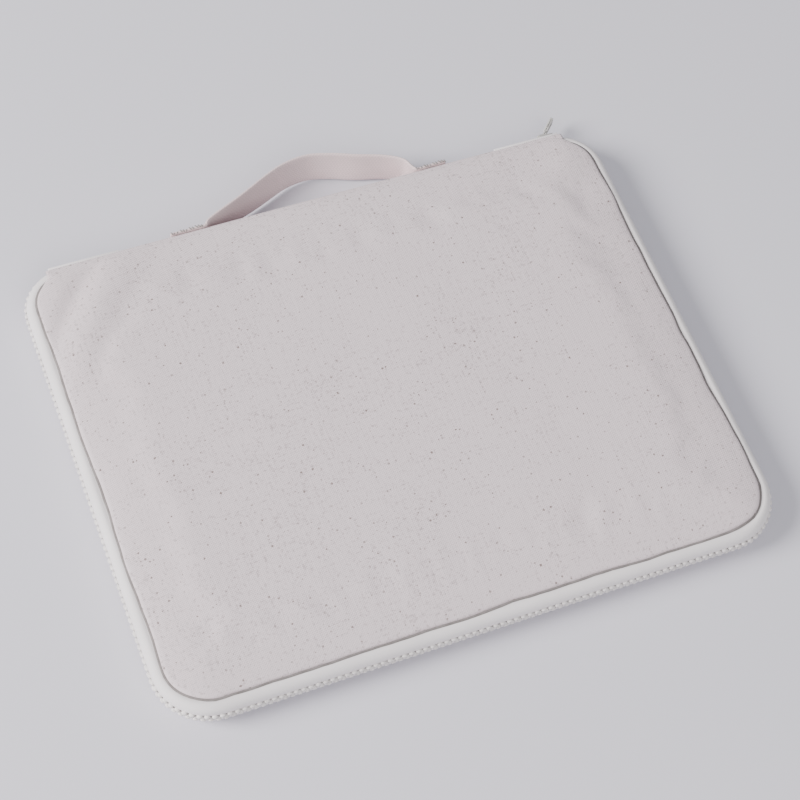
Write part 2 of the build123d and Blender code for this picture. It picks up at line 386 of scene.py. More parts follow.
def add_bump(wire: Wiring, surface: Node, height: Socket, strength: float, distance: float) -> None:
    """Drive the surface's normal with a height.

    Args:
        wire: Wiring of the material.
        surface: The surface shader.
        height: The height.
        strength: Strength of the bump.
        distance: Real height of a full bump.
    """
    bump = wire.tree.nodes.new("ShaderNodeBump")
    bump.inputs["Strength"].default_value = strength
    bump.inputs["Distance"].default_value = distance
    wire.link(height, bump.inputs["Height"])
    wire.link(bump.outputs[0], surface.inputs["Normal"])


@dataclass(frozen=True)
class CanvasFinish(Finish):
    """Undyed cotton canvas with seed flecks."""

    name: str = "natural_canvas"
    light: Colour = (0.71, 0.612, 0.638, 1)
    shade: Colour = (0.44, 0.371, 0.383, 1)
    fleck: Colour = (0.15, 0.10, 0.08, 1)
    threads: float = 1500.0
    fleck_density: float = 480.0
    fleck_size: float = 0.32
    bump: float = 1.1

    def shader(self, wire: Wiring, surface: Node) -> None:
        """Wire weave tone, mottle and flecks to colour, and the weave to the normal."""
        place = coordinates(wire)
        weave = group_node(wire, "weave", place, Threads=self.threads)
        mottle = group_node(wire, "mottle", place, Scale=16.0)
        flecks = group_node(wire, "flecks", place, Density=self.fleck_density, Size=self.fleck_size)
        fine = group_node(wire, "flecks", place, Density=2.3 * self.fleck_density, Size=0.8 * self.fleck_size)
        tone = wire.math("MULTIPLY_ADD", mottle.outputs["Shade"], 0.12,
                         wire.math("MULTIPLY", weave.outputs["Tone"], 0.88))
        cloth = wire.mix(wire.ramp(tone, 0.42, 0.58), self.shade, self.light)
        pale_fleck = tuple(0.5 * (a + b) for a, b in zip(self.fleck, self.shade))
        soft = wire.mix(wire.math("MULTIPLY", fine.outputs["Mask"], 0.6), cloth, pale_fleck)
        spotted = wire.mix(wire.math("MULTIPLY", flecks.outputs["Mask"], 0.85), soft, self.fleck)
        wire.link(spotted, surface.inputs["Base Color"])
        wire.link(wire.ramp(weave.outputs["Height"], 0.2, 1.0, 0.95, 0.82), surface.inputs["Roughness"])
        surface.inputs["Specular IOR Level"].default_value = 0.2
        surface.inputs["Sheen Weight"].default_value = 0.12
        surface.inputs["Sheen Roughness"].default_value = 0.6
        add_bump(wire, surface, weave.outputs["Height"], self.bump, 0.25 * MM)


@dataclass(frozen=True)
class RibFinish(Finish):
    """Woven tape or webbing, ribbed along the piece's own UV map."""

    name: str
    light: Colour
    shade: Colour
    ribs: float = 1500.0
    slant: float = 1.0
    bump: float = 0.5
    sheen: float = 0.15

    def shader(self, wire: Wiring, surface: Node) -> None:
        """Wire rib tone and mottle to colour, and the ribs to the normal."""
        own = coordinates(wire, own_map=True)
        ribs = group_node(wire, "ribs", own, Ribs=self.ribs, Slant=self.slant)
        mottle = group_node(wire, "mottle", coordinates(wire), Scale=30.0)
        handled = wire.math("MULTIPLY", mottle.outputs["Shade"], 0.6)
        tone = wire.math("MULTIPLY_ADD", ribs.outputs["Height"], 0.45, handled)
        wire.link(wire.mix(wire.ramp(tone, 0.1, 0.75), self.shade, self.light), surface.inputs["Base Color"])
        wire.link(wire.ramp(ribs.outputs["Tone"], 0.3, 0.7, 0.9, 0.74), surface.inputs["Roughness"])
        surface.inputs["Specular IOR Level"].default_value = 0.25
        surface.inputs["Sheen Weight"].default_value = self.sheen
        surface.inputs["Sheen Roughness"].default_value = 0.5
        add_bump(wire, surface, ribs.outputs["Height"], self.bump, 0.2 * MM)


@dataclass(frozen=True)
class SolidFinish(Finish):
    """Moulded, cast or foamed material: an even base with grain, worn paler or darker in patches."""

    name: str
    light: Colour
    shade: Colour
    grain: float = 900.0
    roughness: tuple[float, float] = (0.35, 0.55)
    metallic: float = 0.0
    bump: float = 0.15

    def shader(self, wire: Wiring, surface: Node) -> None:
        """Wire grain and mottle to colour, roughness and normal."""
        place = coordinates(wire)
        mottle = group_node(wire, "mottle", place, Scale=160.0)
        fine = wire.noise(place, self.grain, 3.0, 0.6)
        tone = wire.math("MULTIPLY_ADD", fine, 0.4, wire.math("MULTIPLY", mottle.outputs["Shade"], 0.6))
        wire.link(wire.mix(wire.ramp(tone, 0.36, 0.64), self.shade, self.light), surface.inputs["Base Color"])
        wire.link(wire.ramp(fine, 0.3, 0.7, *self.roughness), surface.inputs["Roughness"])
        surface.inputs["Metallic"].default_value = self.metallic
        add_bump(wire, surface, fine, self.bump, 0.08 * MM)


@dataclass(frozen=True)
class FloorFinish(Finish):
    """Smooth pale studio surface."""

    name: str
    tint: Colour

    def shader(self, wire: Wiring, surface: Node) -> None:
        """Wire a faint mottle to roughness."""
        shade = group_node(wire, "mottle", coordinates(wire), Scale=3.0).outputs["Shade"]
        wire.link(wire.ramp(shade, 0.3, 0.7, 0.55, 0.65), surface.inputs["Roughness"])
        surface.inputs["Base Color"].default_value = self.tint


CANVAS = CanvasFinish()
LINING = CanvasFinish("lining_cotton", (0.64, 0.60, 0.575, 1), (0.52, 0.487, 0.46, 1), threads=2200.0,
                      fleck_size=0.15, bump=0.35)
TAPE = RibFinish("zip_tape_weave", (0.87, 0.82, 0.83, 1), (0.76, 0.715, 0.72, 1), ribs=1700.0,
                 slant=1.2, bump=0.3)
BINDING = RibFinish("binding_twill", (0.66, 0.62, 0.57, 1), (0.52, 0.48, 0.44, 1), ribs=1300.0, slant=2.0)
WEBBING = RibFinish("pink_cream_webbing", (0.79, 0.65, 0.655, 1), (0.64, 0.50, 0.505, 1), ribs=1150.0,
                    slant=1.0, bump=0.5, sheen=0.25)
THREAD = SolidFinish("grey_thread", (0.30, 0.28, 0.265, 1), (0.19, 0.17, 0.16, 1), grain=3000.0,
                     roughness=(0.7, 0.9), bump=0.6)
# Seam strip colour: the stitching's colour, darkened to paint the shade of the groove between panel and tape.
SEAM = SolidFinish("seam_stitch_and_painted_shade", (0.26, 0.235, 0.23, 1), (0.18, 0.16, 0.155, 1), grain=3000.0,
                   roughness=(0.8, 0.9), bump=0.6)
TEETH = SolidFinish("cream_resin", (0.82, 0.78, 0.77, 1), (0.72, 0.68, 0.665, 1), grain=1400.0,
                    roughness=(0.3, 0.5))
ENAMEL = SolidFinish("worn_enamel", (0.72, 0.70, 0.67, 1), (0.46, 0.44, 0.42, 1), grain=1200.0,
                     roughness=(0.25, 0.5), metallic=0.2, bump=0.25)
FOAM = SolidFinish("closed_foam", (0.72, 0.71, 0.69, 1), (0.60, 0.59, 0.57, 1), grain=1600.0,
                   roughness=(0.85, 0.95), bump=0.8)


# ---- Mesh helpers ------------------------------------------------------------------------
def finish_piece(bm: bmesh.types.BMesh, name: str, finish: Finish, smooth: bool = True) -> bpy.types.Object:
    """Turn a bmesh into a shown object at the origin.

    Args:
        bm: The finished mesh, which is freed.
        name: Name of the piece.
        finish: Material that it wears.
        smooth: Whether its faces are shaded smooth.

    Returns:
        The new object.
    """
    mesh = bpy.data.meshes.new(name)
    for face in bm.faces:
        face.smooth = smooth
    bm.to_mesh(mesh)
    bm.free()
    piece = bpy.data.objects.new(name, mesh)
    bpy.context.scene.collection.objects.link(piece)
    mesh.materials.append(finish.material())
    return piece


def modify(piece: bpy.types.Object, kind: str, **settings: float | bool | str) -> bpy.types.Modifier:
    """Add a modifier with its settings."""
    modifier = piece.modifiers.new(kind.lower(), kind)
    for key, value in settings.items():
        setattr(modifier, key, value)
    return modifier


def subdivide(piece: bpy.types.Object, levels: int = 1) -> None:
    """Add a subdivision surface with equal levels in view and render."""
    modify(piece, "SUBSURF", levels=levels, render_levels=levels)


def thicken(piece: bpy.types.Object, thickness: float, offset: float = 0.0) -> None:
    """Give a sheet its thickness.

    Args:
        piece: Object with the sheet.
        thickness: The thickness.
        offset: 1 to grow outwards, -1 inwards and 0 both ways.
    """
    modify(piece, "SOLIDIFY", thickness=thickness, offset=offset, use_even_offset=True)


def apply_modifiers(piece: bpy.types.Object) -> None:
    """Bake the piece's modifiers into its mesh."""
    graph = bpy.context.evaluated_depsgraph_get()
    baked = bpy.data.meshes.new_from_object(piece.evaluated_get(graph))
    piece.modifiers.clear()
    piece.data = baked


def hand_over(piece: bpy.types.Object, body: str, slot: str, *nodes: str) -> bpy.types.Object:
    """Let a piece ride on a body and stand for CAD nodes.

    Args:
        piece: The finished piece.
        body: Body of the frame that it moves with.
        slot: Not used.
        *nodes: CAD nodes that it stands for.

    Returns:
        The piece.
    """
    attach(piece, body)
    if nodes:
        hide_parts(*nodes)
    log.info("%s rides on %s", piece.name, body)
    return piece


def merge(bm: bmesh.types.BMesh, part: bmesh.types.BMesh) -> None:
    """Add a finished part to a mesh and free it."""
    shape = bpy.data.meshes.new("part")
    part.to_mesh(shape)
    part.free()
    bm.from_mesh(shape)
    bpy.data.meshes.remove(shape)


def add_block(bm: bmesh.types.BMesh, size: Sequence[float], centre: Vector, bevel: float, segments: int = 2,
              turn: Matrix | None = None) -> None:
    """Add a box with rounded edges.

    Args:
        bm: Mesh that the box is added to.
        size: Its sizes along its own axes.
        centre: Its centre.
        bevel: Size of the rounding.
        segments: Steps of the rounding.
        turn: Its turn about its centre.
    """
    part = bmesh.new()
    place = Matrix.Translation(centre) @ (turn or Matrix.Identity(4)) @ Matrix.Diagonal((*size, 1))
    bmesh.ops.create_cube(part, size=1, matrix=place)
    bmesh.ops.bevel(part, geom=part.edges[:], offset=bevel, segments=segments, profile=0.5, affect="EDGES",
                    material=-1)
    merge(bm, part)


def map_flat(bm: bmesh.types.BMesh) -> None:
    """Give an upright piece a UV map of its X and Z."""
    uv = bm.loops.layers.uv.new("track")
    for face in bm.faces:
        for loop in face.loops:
            loop[uv].uv = (loop.vert.co.x, loop.vert.co.z)


def smoothstep(value: float) -> float:
    """Smooth change from 0 to 1 as value goes from 0 to 1."""
    share = min(max(value, 0.0), 1.0)
    return share * share * (3 - 2 * share)


def edges_between(grown: Sequence, verts: Sequence[bmesh.types.BMVert]) -> list[bmesh.types.BMEdge]:
    """Edges of a grown part that join two of its open end's points."""
    ends = set(verts)
    return [item for item in grown if isinstance(item, bmesh.types.BMEdge) and ends.issuperset(item.verts)]


# ---- Outline and sweeps ------------------------------------------------------------------
@dataclass(frozen=True)
class Outline:
    """Rounded rectangle of a seam, with the sizes that pieces round it share."""

    half_width: float
    near: float
    far: float
    near_radius: float
    far_radius: float
    overhang: float = 0.0
    overhang_end: float = 0.0
    overhang_depth: float = 30 * MM

    def stretch(self, x: float, inset: float) -> float:
        """How far the far edge stands out past its seam at x, less and less further in."""
        share = smoothstep((self.overhang_end - abs(x)) / (10 * MM))
        return self.overhang * share * (1 - smoothstep(inset / self.overhang_depth))

    def corner_radius(self, y: float) -> float:
        """Radius of the corners at the side that y is on."""
        return self.near_radius if y < (self.near + self.far) / 2 else self.far_radius

    def place(self, x: float, y: float) -> Vector:
        """Move a point of an upright rectangle's ring on to the matching rounded ring."""
        inset = min(self.half_width - abs(x), y - self.near, self.far - y)
        radius = max(self.corner_radius(y) - inset, 0.0)
        centre_x = self.half_width - inset - radius
        middle = (self.near + self.far) / 2
        half_depth = (self.far - self.near) / 2
        centre_y = half_depth - inset - radius
        out_x = abs(x) - centre_x
        out_y = abs(y - middle) - centre_y
        if out_x <= 0 or out_y <= 0 or radius <= 0:
            return Vector((x, y, 0))
        turned = Vector((out_x, out_y)).normalized() * radius
        spot_y = middle + math.copysign(centre_y + turned.y, y - middle)
        return Vector((math.copysign(centre_x + turned.x, x), spot_y, 0))

    def inset(self, x: float, y: float) -> float:
        """Distance of a plan point from the outline, inwards positive."""
        radius = self.corner_radius(y)
        middle = (self.near + self.far) / 2
        out_x = abs(x) - (self.half_width - radius)
        out_y = abs(y - middle) - ((self.far - self.near) / 2 - radius)
        if out_x > 0 and out_y > 0:
            return radius - math.hypot(out_x, out_y)
        return radius - max(out_x, out_y)


def grid_places(low: float, high: float, rings: Sequence[float], cell: float) -> list[float]:
    """Grid lines with close rings at both edges and even cells between.

    Args:
        low: First line.
        high: Last line.
        rings: Distances of the rings from each edge, from 0 up.
        cell: Size of the cells between.

    Returns:
        The lines in order.
    """
    inner = high - low - 2 * rings[-1]
    count = max(2, round(inner / cell))
    even = [low + rings[-1] + inner * k / count for k in range(1, count)]
    return [low + r for r in rings] + even + [high - r for r in reversed(rings)]


def rounded_sheet(outline: Outline, rings: Sequence[float], cell: float,
                  level: Callable[[float, float, float], float]) -> bmesh.types.BMesh:
    """Quad sheet that fills a rounded outline, with its height given by a function.

    Args:
        outline: The sheet's edge.
        rings: Distances of the edge rings from the outline, from 0 up.
        cell: Size of the cells inside the rings.
        level: Height from x, y and the inset from the outline.

    Returns:
        The sheet, with its front side up.
    """
    across = grid_places(-outline.half_width, outline.half_width, rings, cell)
    along = grid_places(outline.near, outline.far, rings, cell)
    bm = bmesh.new()
    bmesh.ops.create_grid(bm, x_segments=len(across) - 1, y_segments=len(along) - 1, size=1)
    for vert in bm.verts:
        column = round((vert.co.x + 1) / 2 * (len(across) - 1))
        row = round((vert.co.y + 1) / 2 * (len(along) - 1))
        x, y = across[column], along[row]
        inset = min(outline.half_width - abs(x), y - outline.near, outline.far - y)
        spot = outline.place(x, y)
        if y > 0:
            spot.y += outline.stretch(spot.x, outline.far - y)
        vert.co = Vector((spot.x, spot.y, level(spot.x, spot.y, inset)))
    return bm


@dataclass(frozen=True)
class Run:
    """One stretch of the zip's path, an arc or a straight line, travelled clockwise from above."""

    origin: Vector
    outward: Vector
    length: float
    radius: float = 0.0

    def at(self, distance: float, reach: float) -> tuple[Vector, Vector]:
        """Point on the teeth line and the outward direction, at a distance from the run's start."""
        if self.radius:
            outward = Matrix.Rotation(-distance / (self.radius + reach), 3, "Z") @ self.outward
            return self.origin + outward * (self.radius + reach), outward
        heading = Vector((self.outward.y, -self.outward.x, 0))
        return self.origin + self.outward * reach + heading * distance, self.outward


@dataclass(frozen=True)
class Track:
    """Path of the zip round three sides, from the split at one far corner to the other."""

    outline: Outline
    split: float
    middle: float
    reach: float = TRACK_REACH

    def corner(self, right: int, near: bool) -> Vector:
        """Centre of one corner's arc; right is 1 or -1."""
        edge = self.outline
        y = edge.near + edge.near_radius if near else edge.far - edge.far_radius
        return Vector((right * (edge.half_width - (edge.near_radius if near else edge.far_radius)), y, 0))

    def runs(self) -> list[Run]:
        """Arcs and straight stretches in order."""
        edge = self.outline
        begin = math.asin((self.split - self.corner(1, False).x) / (edge.far_radius + self.reach))
        start = Vector((math.sin(begin), math.cos(begin), 0))
        far_arc = (math.pi / 2 - begin) * (edge.far_radius + self.reach)
        near_arc = math.pi / 2 * (edge.near_radius + self.reach)
        right, left, near = Vector((1, 0, 0)), Vector((-1, 0, 0)), Vector((0, -1, 0))
        side_start = Vector((edge.half_width, self.corner(1, False).y, 0))
        near_start = Vector((self.corner(1, True).x, edge.near, 0))
        left_start = Vector((-edge.half_width, self.corner(-1, True).y, 0))
        side_length = self.corner(1, False).y - self.corner(1, True).y
        return [
            Run(self.corner(1, False), start, far_arc, edge.far_radius),
            Run(side_start, right, side_length),
            Run(self.corner(1, True), right, near_arc, edge.near_radius),
            Run(near_start, near, 2 * near_start.x),
            Run(self.corner(-1, True), near, near_arc, edge.near_radius),
            Run(left_start, left, side_length),
            Run(self.corner(-1, False), left, far_arc, edge.far_radius),
        ]

    def frames(self, pitch: float, shift: float) -> list[tuple[Vector, Vector]]:
        """Evenly spaced points on the teeth line, with their outward directions."""
        runs = self.runs()
        total = sum(run.length for run in runs)
        found = []
        place = shift
        while place < total:
            rest = place
            for run in runs:
                if rest <= run.length:
                    found.append(run.at(rest, self.reach))
                    break
                rest -= run.length
            place += pitch
        return found

    def sweep(self, profile: Sequence[tuple[float, float]], up: int,
              cell: float = 5 * MM) -> bmesh.types.BMesh:
        """Carry a section along the track, a spin or an extrusion a step.

        Args:
            profile: Points of the section, as distance out from the seam and height from the middle.
            up: 1 for the upper shell and -1 for the lower one.
            cell: Length of the steps.

        Returns:
            The swept sheet, with a UV map of the distance along it and across it.
        """
        bm = bmesh.new()
        along = bm.verts.layers.float.new("along")
        across = bm.verts.layers.float.new("across")
        runs = self.runs()
        chain = []
        for out, height in profile:
            point = runs[0].at(0, out)[0]
            chain.append(bm.verts.new((point.x, point.y, self.middle + up * height)))
        for previous, vert in zip(chain, chain[1:]):
            vert[across] = previous[across] + (vert.co - previous.co).length
        edges = [bm.edges.new(pair) for pair in zip(chain, chain[1:])]
        for run in runs:
            steps = max(2, round(run.length / cell))
            for _ in range(steps):
                chain, edges = self.step(bm, run, steps, chain, edges)
                for vert in chain:
                    vert[along] += run.length / steps
        bmesh.ops.recalc_face_normals(bm, faces=bm.faces[:])
        uv = bm.loops.layers.uv.new("track")
        for face in bm.faces:
            for loop in face.loops:
                loop[uv].uv = (loop.vert[along], loop.vert[across])
        return bm

    @staticmethod
    def step(bm: bmesh.types.BMesh, run: Run, steps: int, chain: list, edges: list) -> tuple[list, list]:
        """Carry the open end of a sweep one step on.

        Args:
            bm: Mesh of the sweep.
            run: Stretch of the track that it is on.
            steps: Steps of the whole stretch.
            chain: Points of the open end.
            edges: Edges of the open end.

        Returns:
            Points and edges of the new open end.
        """
        if run.radius:
            sweep = run.length / (run.radius + TRACK_REACH)
            grown = bmesh.ops.spin(bm, geom=chain + edges, cent=run.origin, axis=(0, 0, 1),
                                   angle=-sweep / steps, steps=1, use_duplicate=False)["geom_last"]
            verts = [item for item in grown if isinstance(item, bmesh.types.BMVert)]
        else:
            grown = bmesh.ops.extrude_edge_only(bm, edges=edges)["geom"]
            verts = [item for item in grown if isinstance(item, bmesh.types.BMVert)]
            heading = Vector((run.outward.y, -run.outward.x, 0))
            bmesh.ops.translate(bm, verts=verts, vec=heading * (run.length / steps))
        return verts, edges_between(grown, verts)


# ---- Soft surfaces -----------------------------------------------------------------------
@dataclass(frozen=True)
class Dent:
    """Soft hollow pressed into a panel, turned by an angle about the vertical."""

    x: float
    y: float
    depth: float
    length: float
    width: float
    turn: float = 0.0

    def drop(self, x: float, y: float) -> float:
        """How far the panel is lowered at a point."""
        angle = math.radians(self.turn)
        across = (x - self.x) * math.cos(angle) + (y - self.y) * math.sin(angle)
        along = (y - self.y) * math.cos(angle) - (x - self.x) * math.sin(angle)
        return self.depth * math.exp(-((across / self.length) ** 2) - (along / self.width) ** 2)


@dataclass(frozen=True)
class Droop:
    """Corner where the padding stops short, so that the canvas falls away past a crease line."""

    crease_start: tuple[float, float]
    crease_end: tuple[float, float]
    flap: float
    width: float
    ridge: float
    valley: float

    def past(self, x: float, y: float) -> float:
        """Distance of a point past the crease, towards the corner."""
        return (Vector((x, y)) - Vector(self.crease_start)).dot(self.away)

    def share(self, x: float, y: float) -> float:
        """How far a point has fallen from the padding, 0, to the flap past the crease, 1."""
        return smoothstep(self.past(x, y) / self.width)

    def lift(self, x: float, y: float) -> float:
        """Rise of the padding's soft edge just before the crease."""
        return self.ridge * math.exp(-((self.past(x, y) + self.width) / (1.3 * self.width)) ** 2)

    def sag(self, x: float, y: float) -> float:
        """Depth of the valley at the foot of the padding's edge."""
        return self.valley * math.exp(-((self.past(x, y) - 0.9 * self.width) / (0.8 * self.width)) ** 2)

    @property
    def away(self) -> Vector:
        """Direction from the crease towards the corner."""
        line = (Vector(self.crease_end) - Vector(self.crease_start)).normalized()
        return Vector((-line.y, line.x))


def settle(piece: bpy.types.Object, hold: Callable[[Vector], float], slack: float, pressure: float,
           cap: float, frames: int = 20) -> None:
    """Let a sheet of cloth puff and wrinkle over its padding by simulation.

    Args:
        piece: Object with the sheet's mesh, changed in place.
        hold: Pinning at a point, from 0 loose to 1 held.
        slack: Share by which the cloth is larger than its place.
        pressure: Push of the padding from behind.
        cap: Furthest that a point may move.
        frames: Steps of the simulation.
    """
    start = [vert.co.copy() for vert in piece.data.vertices]
    pins = piece.vertex_groups.new(name="held")
    for vert in piece.data.vertices:
        pins.add([vert.index], hold(vert.co), "REPLACE")
    cloth = modify(piece, "CLOTH")
    settings = cloth.settings
    settings.quality = 6
    settings.mass = 0.25
    settings.tension_stiffness = 20
    settings.compression_stiffness = 20
    settings.shear_stiffness = 6
    settings.bending_stiffness = 0.6
    settings.vertex_group_mass = pins.name
    settings.shrink_min = -slack
    settings.use_pressure = True
    settings.uniform_pressure_force = pressure
    settings.effector_weights.gravity = 0
    cloth.point_cache.frame_start = 1
    cloth.point_cache.frame_end = frames
    for frame_number in range(1, frames + 1):
        bpy.context.scene.frame_set(frame_number)
    graph = bpy.context.evaluated_depsgraph_get()
    moved = [vert.co.copy() for vert in piece.evaluated_get(graph).data.vertices]
    piece.modifiers.remove(cloth)
    piece.vertex_groups.remove(pins)
    bpy.context.scene.frame_set(1)
    for vert, before, after in zip(piece.data.vertices, start, moved):
        shift = after - before
        vert.co = before + shift * min(1.0, cap / max(shift.length, 1e-9))


# ---- Shells ------------------------------------------------------------------------------
@dataclass
class Shell:
    """One half of the sleeve: panel, padding, lining, binding, zip tape and teeth."""

    side: Side
    outline: Outline
    track: Track
    seam: float
    roll: float = 16 * MM
    lip: float = 2.2 * MM
    lip_rise: float = 1.1 * MM
    rise: float = 2.7 * MM
    crown: float = 2.2 * MM
    crown_reach: float = 36 * MM
    tuck: float = 0.6 * MM
    bulge: float = -0.5 * MM
    waver: float = 1.9 * MM
    waver_scale: float = 30.0
    waver_end: float = 90 * MM
    waver_fade: float = 30 * MM
    swell: float = 0.35 * MM
    swell_scale: float = 22.0
    pucker: float = 0.13 * MM
    pucker_scale: float = 60.0
    canvas: float = 0.8 * MM
    cell: float = 4.2 * MM
    foam_inset: float = 8 * MM
    foam_top: float = 10.1 * MM
    foam_thickness: float = 3.1 * MM
    foam_soften: float = 0.9 * MM
    lining_level: float = 6.6 * MM
    lining_thickness: float = 0.45 * MM
    binding_level: float = 7.3 * MM
    binding_outer: float = 1.0 * MM
    binding_width: float = 6.5 * MM
    binding_thickness: float = 0.7 * MM
    tape_thickness: float = 0.6 * MM
    pitch: float = 3.72 * MM
    dents: Sequence[Dent] = ()
    droop: Droop | None = None

    @property
    def up(self) -> int:
        """Direction of the shell's outer face."""
        return self.side.value

    def level(self, height: float) -> float:
        """Height above the floor of a height above the middle plane."""
        return self.track.middle + self.up * height

    def panel_level(self, x: float, y: float, inset: float) -> float:
        """Height of the panel's outer face above the floor.

        Args:
            x: Place across the sleeve.
            y: Place along its depth.
            inset: Distance inwards from the seam.

        Returns:
            The height.
        """
        share = min(inset / self.roll, 1.0)
        lip = min(inset / self.lip, 1.0)
        height = self.seam + self.lip_rise * math.sqrt(1 - (1 - lip) ** 2)
        height += (self.rise - self.lip_rise) * (1 - (1 - share) ** 2)
        if inset <= 0:
            height -= self.tuck
        if self.droop is not None:
            fullness = smoothstep(inset / self.crown_reach)
            height += self.crown * fullness
            uneven = noise.noise(Vector((x, y, 0)) * self.swell_scale) * self.swell
            uneven += noise.noise(Vector((x, y, 1)) * self.pucker_scale) * self.pucker
            height += uneven * smoothstep(inset / (2 * self.roll))
            height -= (sum(dent.drop(x, y) for dent in self.dents) - self.droop.lift(x, y)) * share
            flap = self.seam + self.droop.flap * math.sqrt(share) - self.droop.sag(x, y) * share
            if inset > 0 and flap < height:
                height += (flap - height) * self.droop.share(x, y)
        return self.level(height)

    def build(self) -> None:
        """Make every piece of the shell."""
        self.build_panel()
        self.build_foam()
        self.build_lining()
        self.build_binding()
        self.build_tape()
        self.build_teeth()
        self.build_seam()

    def sheet_mesh(self, outline: Outline, rings: Sequence[float],
                   level: Callable[[float, float, float], float]) -> bmesh.types.BMesh:
        """Rounded sheet whose faces point away from the middle plane.

        Args:
            outline: The sheet's edge.
            rings: Distances of its edge rings, from 0 up.
            level: Height from x, y and the inset.

        Returns:
            The sheet.
        """
        bm = rounded_sheet(outline, rings, self.cell, level)
        if self.side is Side.BACK:
            bmesh.ops.reverse_faces(bm, faces=bm.faces[:])
        return bm

    def build_panel(self) -> None:
        """Outer canvas with its rolled edge, settled over the padding."""
        rings = [r * MM for r in (0, 0.35, 1.0, 2.0, 3.4, 5.2, 7.6, 11, 15, 20)]
        bm = self.sheet_mesh(self.outline, rings, self.panel_level)
        self.loosen_edge(bm)
        piece = finish_piece(bm, f"{self.side.word}_panel_canvas", CANVAS)
        if self.droop is not None:
            settle(piece, self.hold, slack=0.006, pressure=1.5, cap=1.2 * MM)
        thicken(piece, self.canvas, offset=-1)
        subdivide(piece)
        apply_modifiers(piece)
        hand_over(piece, self.side.body, "canvas", f"{self.side.word}_panel")

    def hold(self, spot: Vector) -> float:
        """How firmly the seam and the crease hold the canvas at a point, from 0 to 1."""
        edge = smoothstep((self.outline.inset(spot.x, spot.y) - self.roll * 0.7) / self.roll)
        crease = smoothstep((-self.droop.past(spot.x, spot.y) - 10 * MM) / self.roll)
        return 1 - min(edge, crease)

    def wave(self, spot: Vector) -> Vector:
        """Shift of the seam at a point: hand-fed seams stand out more in some places than in others."""
        x, y = spot.x, spot.y
        step = MM
        slope = Vector((self.outline.inset(x + step, y) - self.outline.inset(x - step, y),
                        self.outline.inset(x, y + step) - self.outline.inset(x, y - step), 0))
        slow = noise.noise(Vector((x, y, 7 + self.up)) * self.waver_scale)
        quick = noise.noise(Vector((x, y, 9 + self.up)) * 110)
        amount = self.bulge + self.waver * (slow + 0.3 * quick)
        return slope.normalized() * -amount * (1 - smoothstep((y - self.waver_end) / self.waver_fade))

    def loosen_edge(self, bm: bmesh.types.BMesh, reach: float = 10 * MM) -> None:
        """Shift a mesh's points by the seam's wave, less and less further in than its edge."""
        for vert in bm.verts:
            share = 1 - smoothstep(self.outline.inset(vert.co.x, vert.co.y) / reach)
            if share > 0:
                vert.co += self.wave(vert.co) * share

    def inner_outline(self, inset: float) -> Outline:
        """Outline of a piece that lies inside the seam by an inset."""
        edge = self.track.outline
        return Outline(edge.half_width - inset, edge.near + inset, edge.far - inset,
                       max(edge.near_radius - inset, 2 * MM), max(edge.far_radius - inset, 2 * MM))

    def build_foam(self) -> None:
        """Padding sheet with soft edges."""
        rings = [0, 1.2 * MM, 4 * MM, 10 * MM]
        soft_width = rings[2]

        def level(x: float, y: float, inset: float) -> float:
            """Height of the foam's outer face, lower at its soft edge."""
            return self.level(self.foam_top - self.foam_soften * (1 - smoothstep(inset / soft_width)))

        bm = self.sheet_mesh(self.inner_outline(self.foam_inset), rings, level)
        if self.droop is not None:
            crease = Vector((*self.droop.crease_start, self.track.middle))
            bmesh.ops.bisect_plane(bm, geom=bm.verts[:] + bm.edges[:] + bm.faces[:], plane_co=crease,
                                   plane_no=(*self.droop.away, 0), clear_outer=True)
        piece = finish_piece(bm, f"{self.side.word}_padding_foam", FOAM)
        thicken(piece, self.foam_thickness, offset=-1)
        apply_modifiers(piece)
        hand_over(piece, self.side.body, "foam", f"{self.side.word}_padding")

    def build_lining(self) -> None:
        """Cotton lining, slightly slack."""
        outline = self.inner_outline(self.foam_inset)

        def level(x: float, y: float, inset: float) -> float:
            """Height of the lining, with slack waves away from its edge."""
            waves = noise.noise(Vector((x, y, 3 + self.up)) * 28) * 0.1 * MM
            return self.level(self.lining_level + waves * smoothstep(inset / (12 * MM)))

        piece = finish_piece(self.sheet_mesh(outline, [0, 2 * MM, 6 * MM, 12 * MM], level),
                             f"{self.side.word}_lining_cotton", LINING)
        thicken(piece, self.lining_thickness)
        apply_modifiers(piece)
        hand_over(piece, self.side.body, "lining", f"{self.side.word}_lining")

    def build_binding(self) -> None:
        """Twill tape that covers the seam allowance all round the inside."""
        outline = self.inner_outline(self.binding_outer)
        rings = [share * self.binding_width for share in (0, 0.12, 0.5, 0.88, 1)]

        def level(x: float, y: float, inset: float) -> float:
            """Height of the binding, thicker along its middle."""
            edge = min(inset, self.binding_width - inset) / self.binding_width
            return self.level(self.binding_level - 0.25 * MM * smoothstep(3 * edge))

        bm = self.sheet_mesh(outline, rings, level)
        middles = {face: face.calc_center_median() for face in bm.faces}
        inner = [face for face, spot in middles.items() if outline.inset(spot.x, spot.y) > self.binding_width]
        bmesh.ops.delete(bm, geom=inner, context="FACES")
        uv = bm.loops.layers.uv.new("track")
        for face in bm.faces:
            for loop in face.loops:
                spot = loop.vert.co
                depth = outline.inset(spot.x, spot.y)
                loop[uv].uv = (spot.x + spot.y, depth)
        piece = finish_piece(bm, f"{self.side.word}_binding_twill", BINDING)
        thicken(piece, self.binding_thickness)
        apply_modifiers(piece)
        hand_over(piece, self.side.body, "binding", f"{self.side.word}_seam_binding")

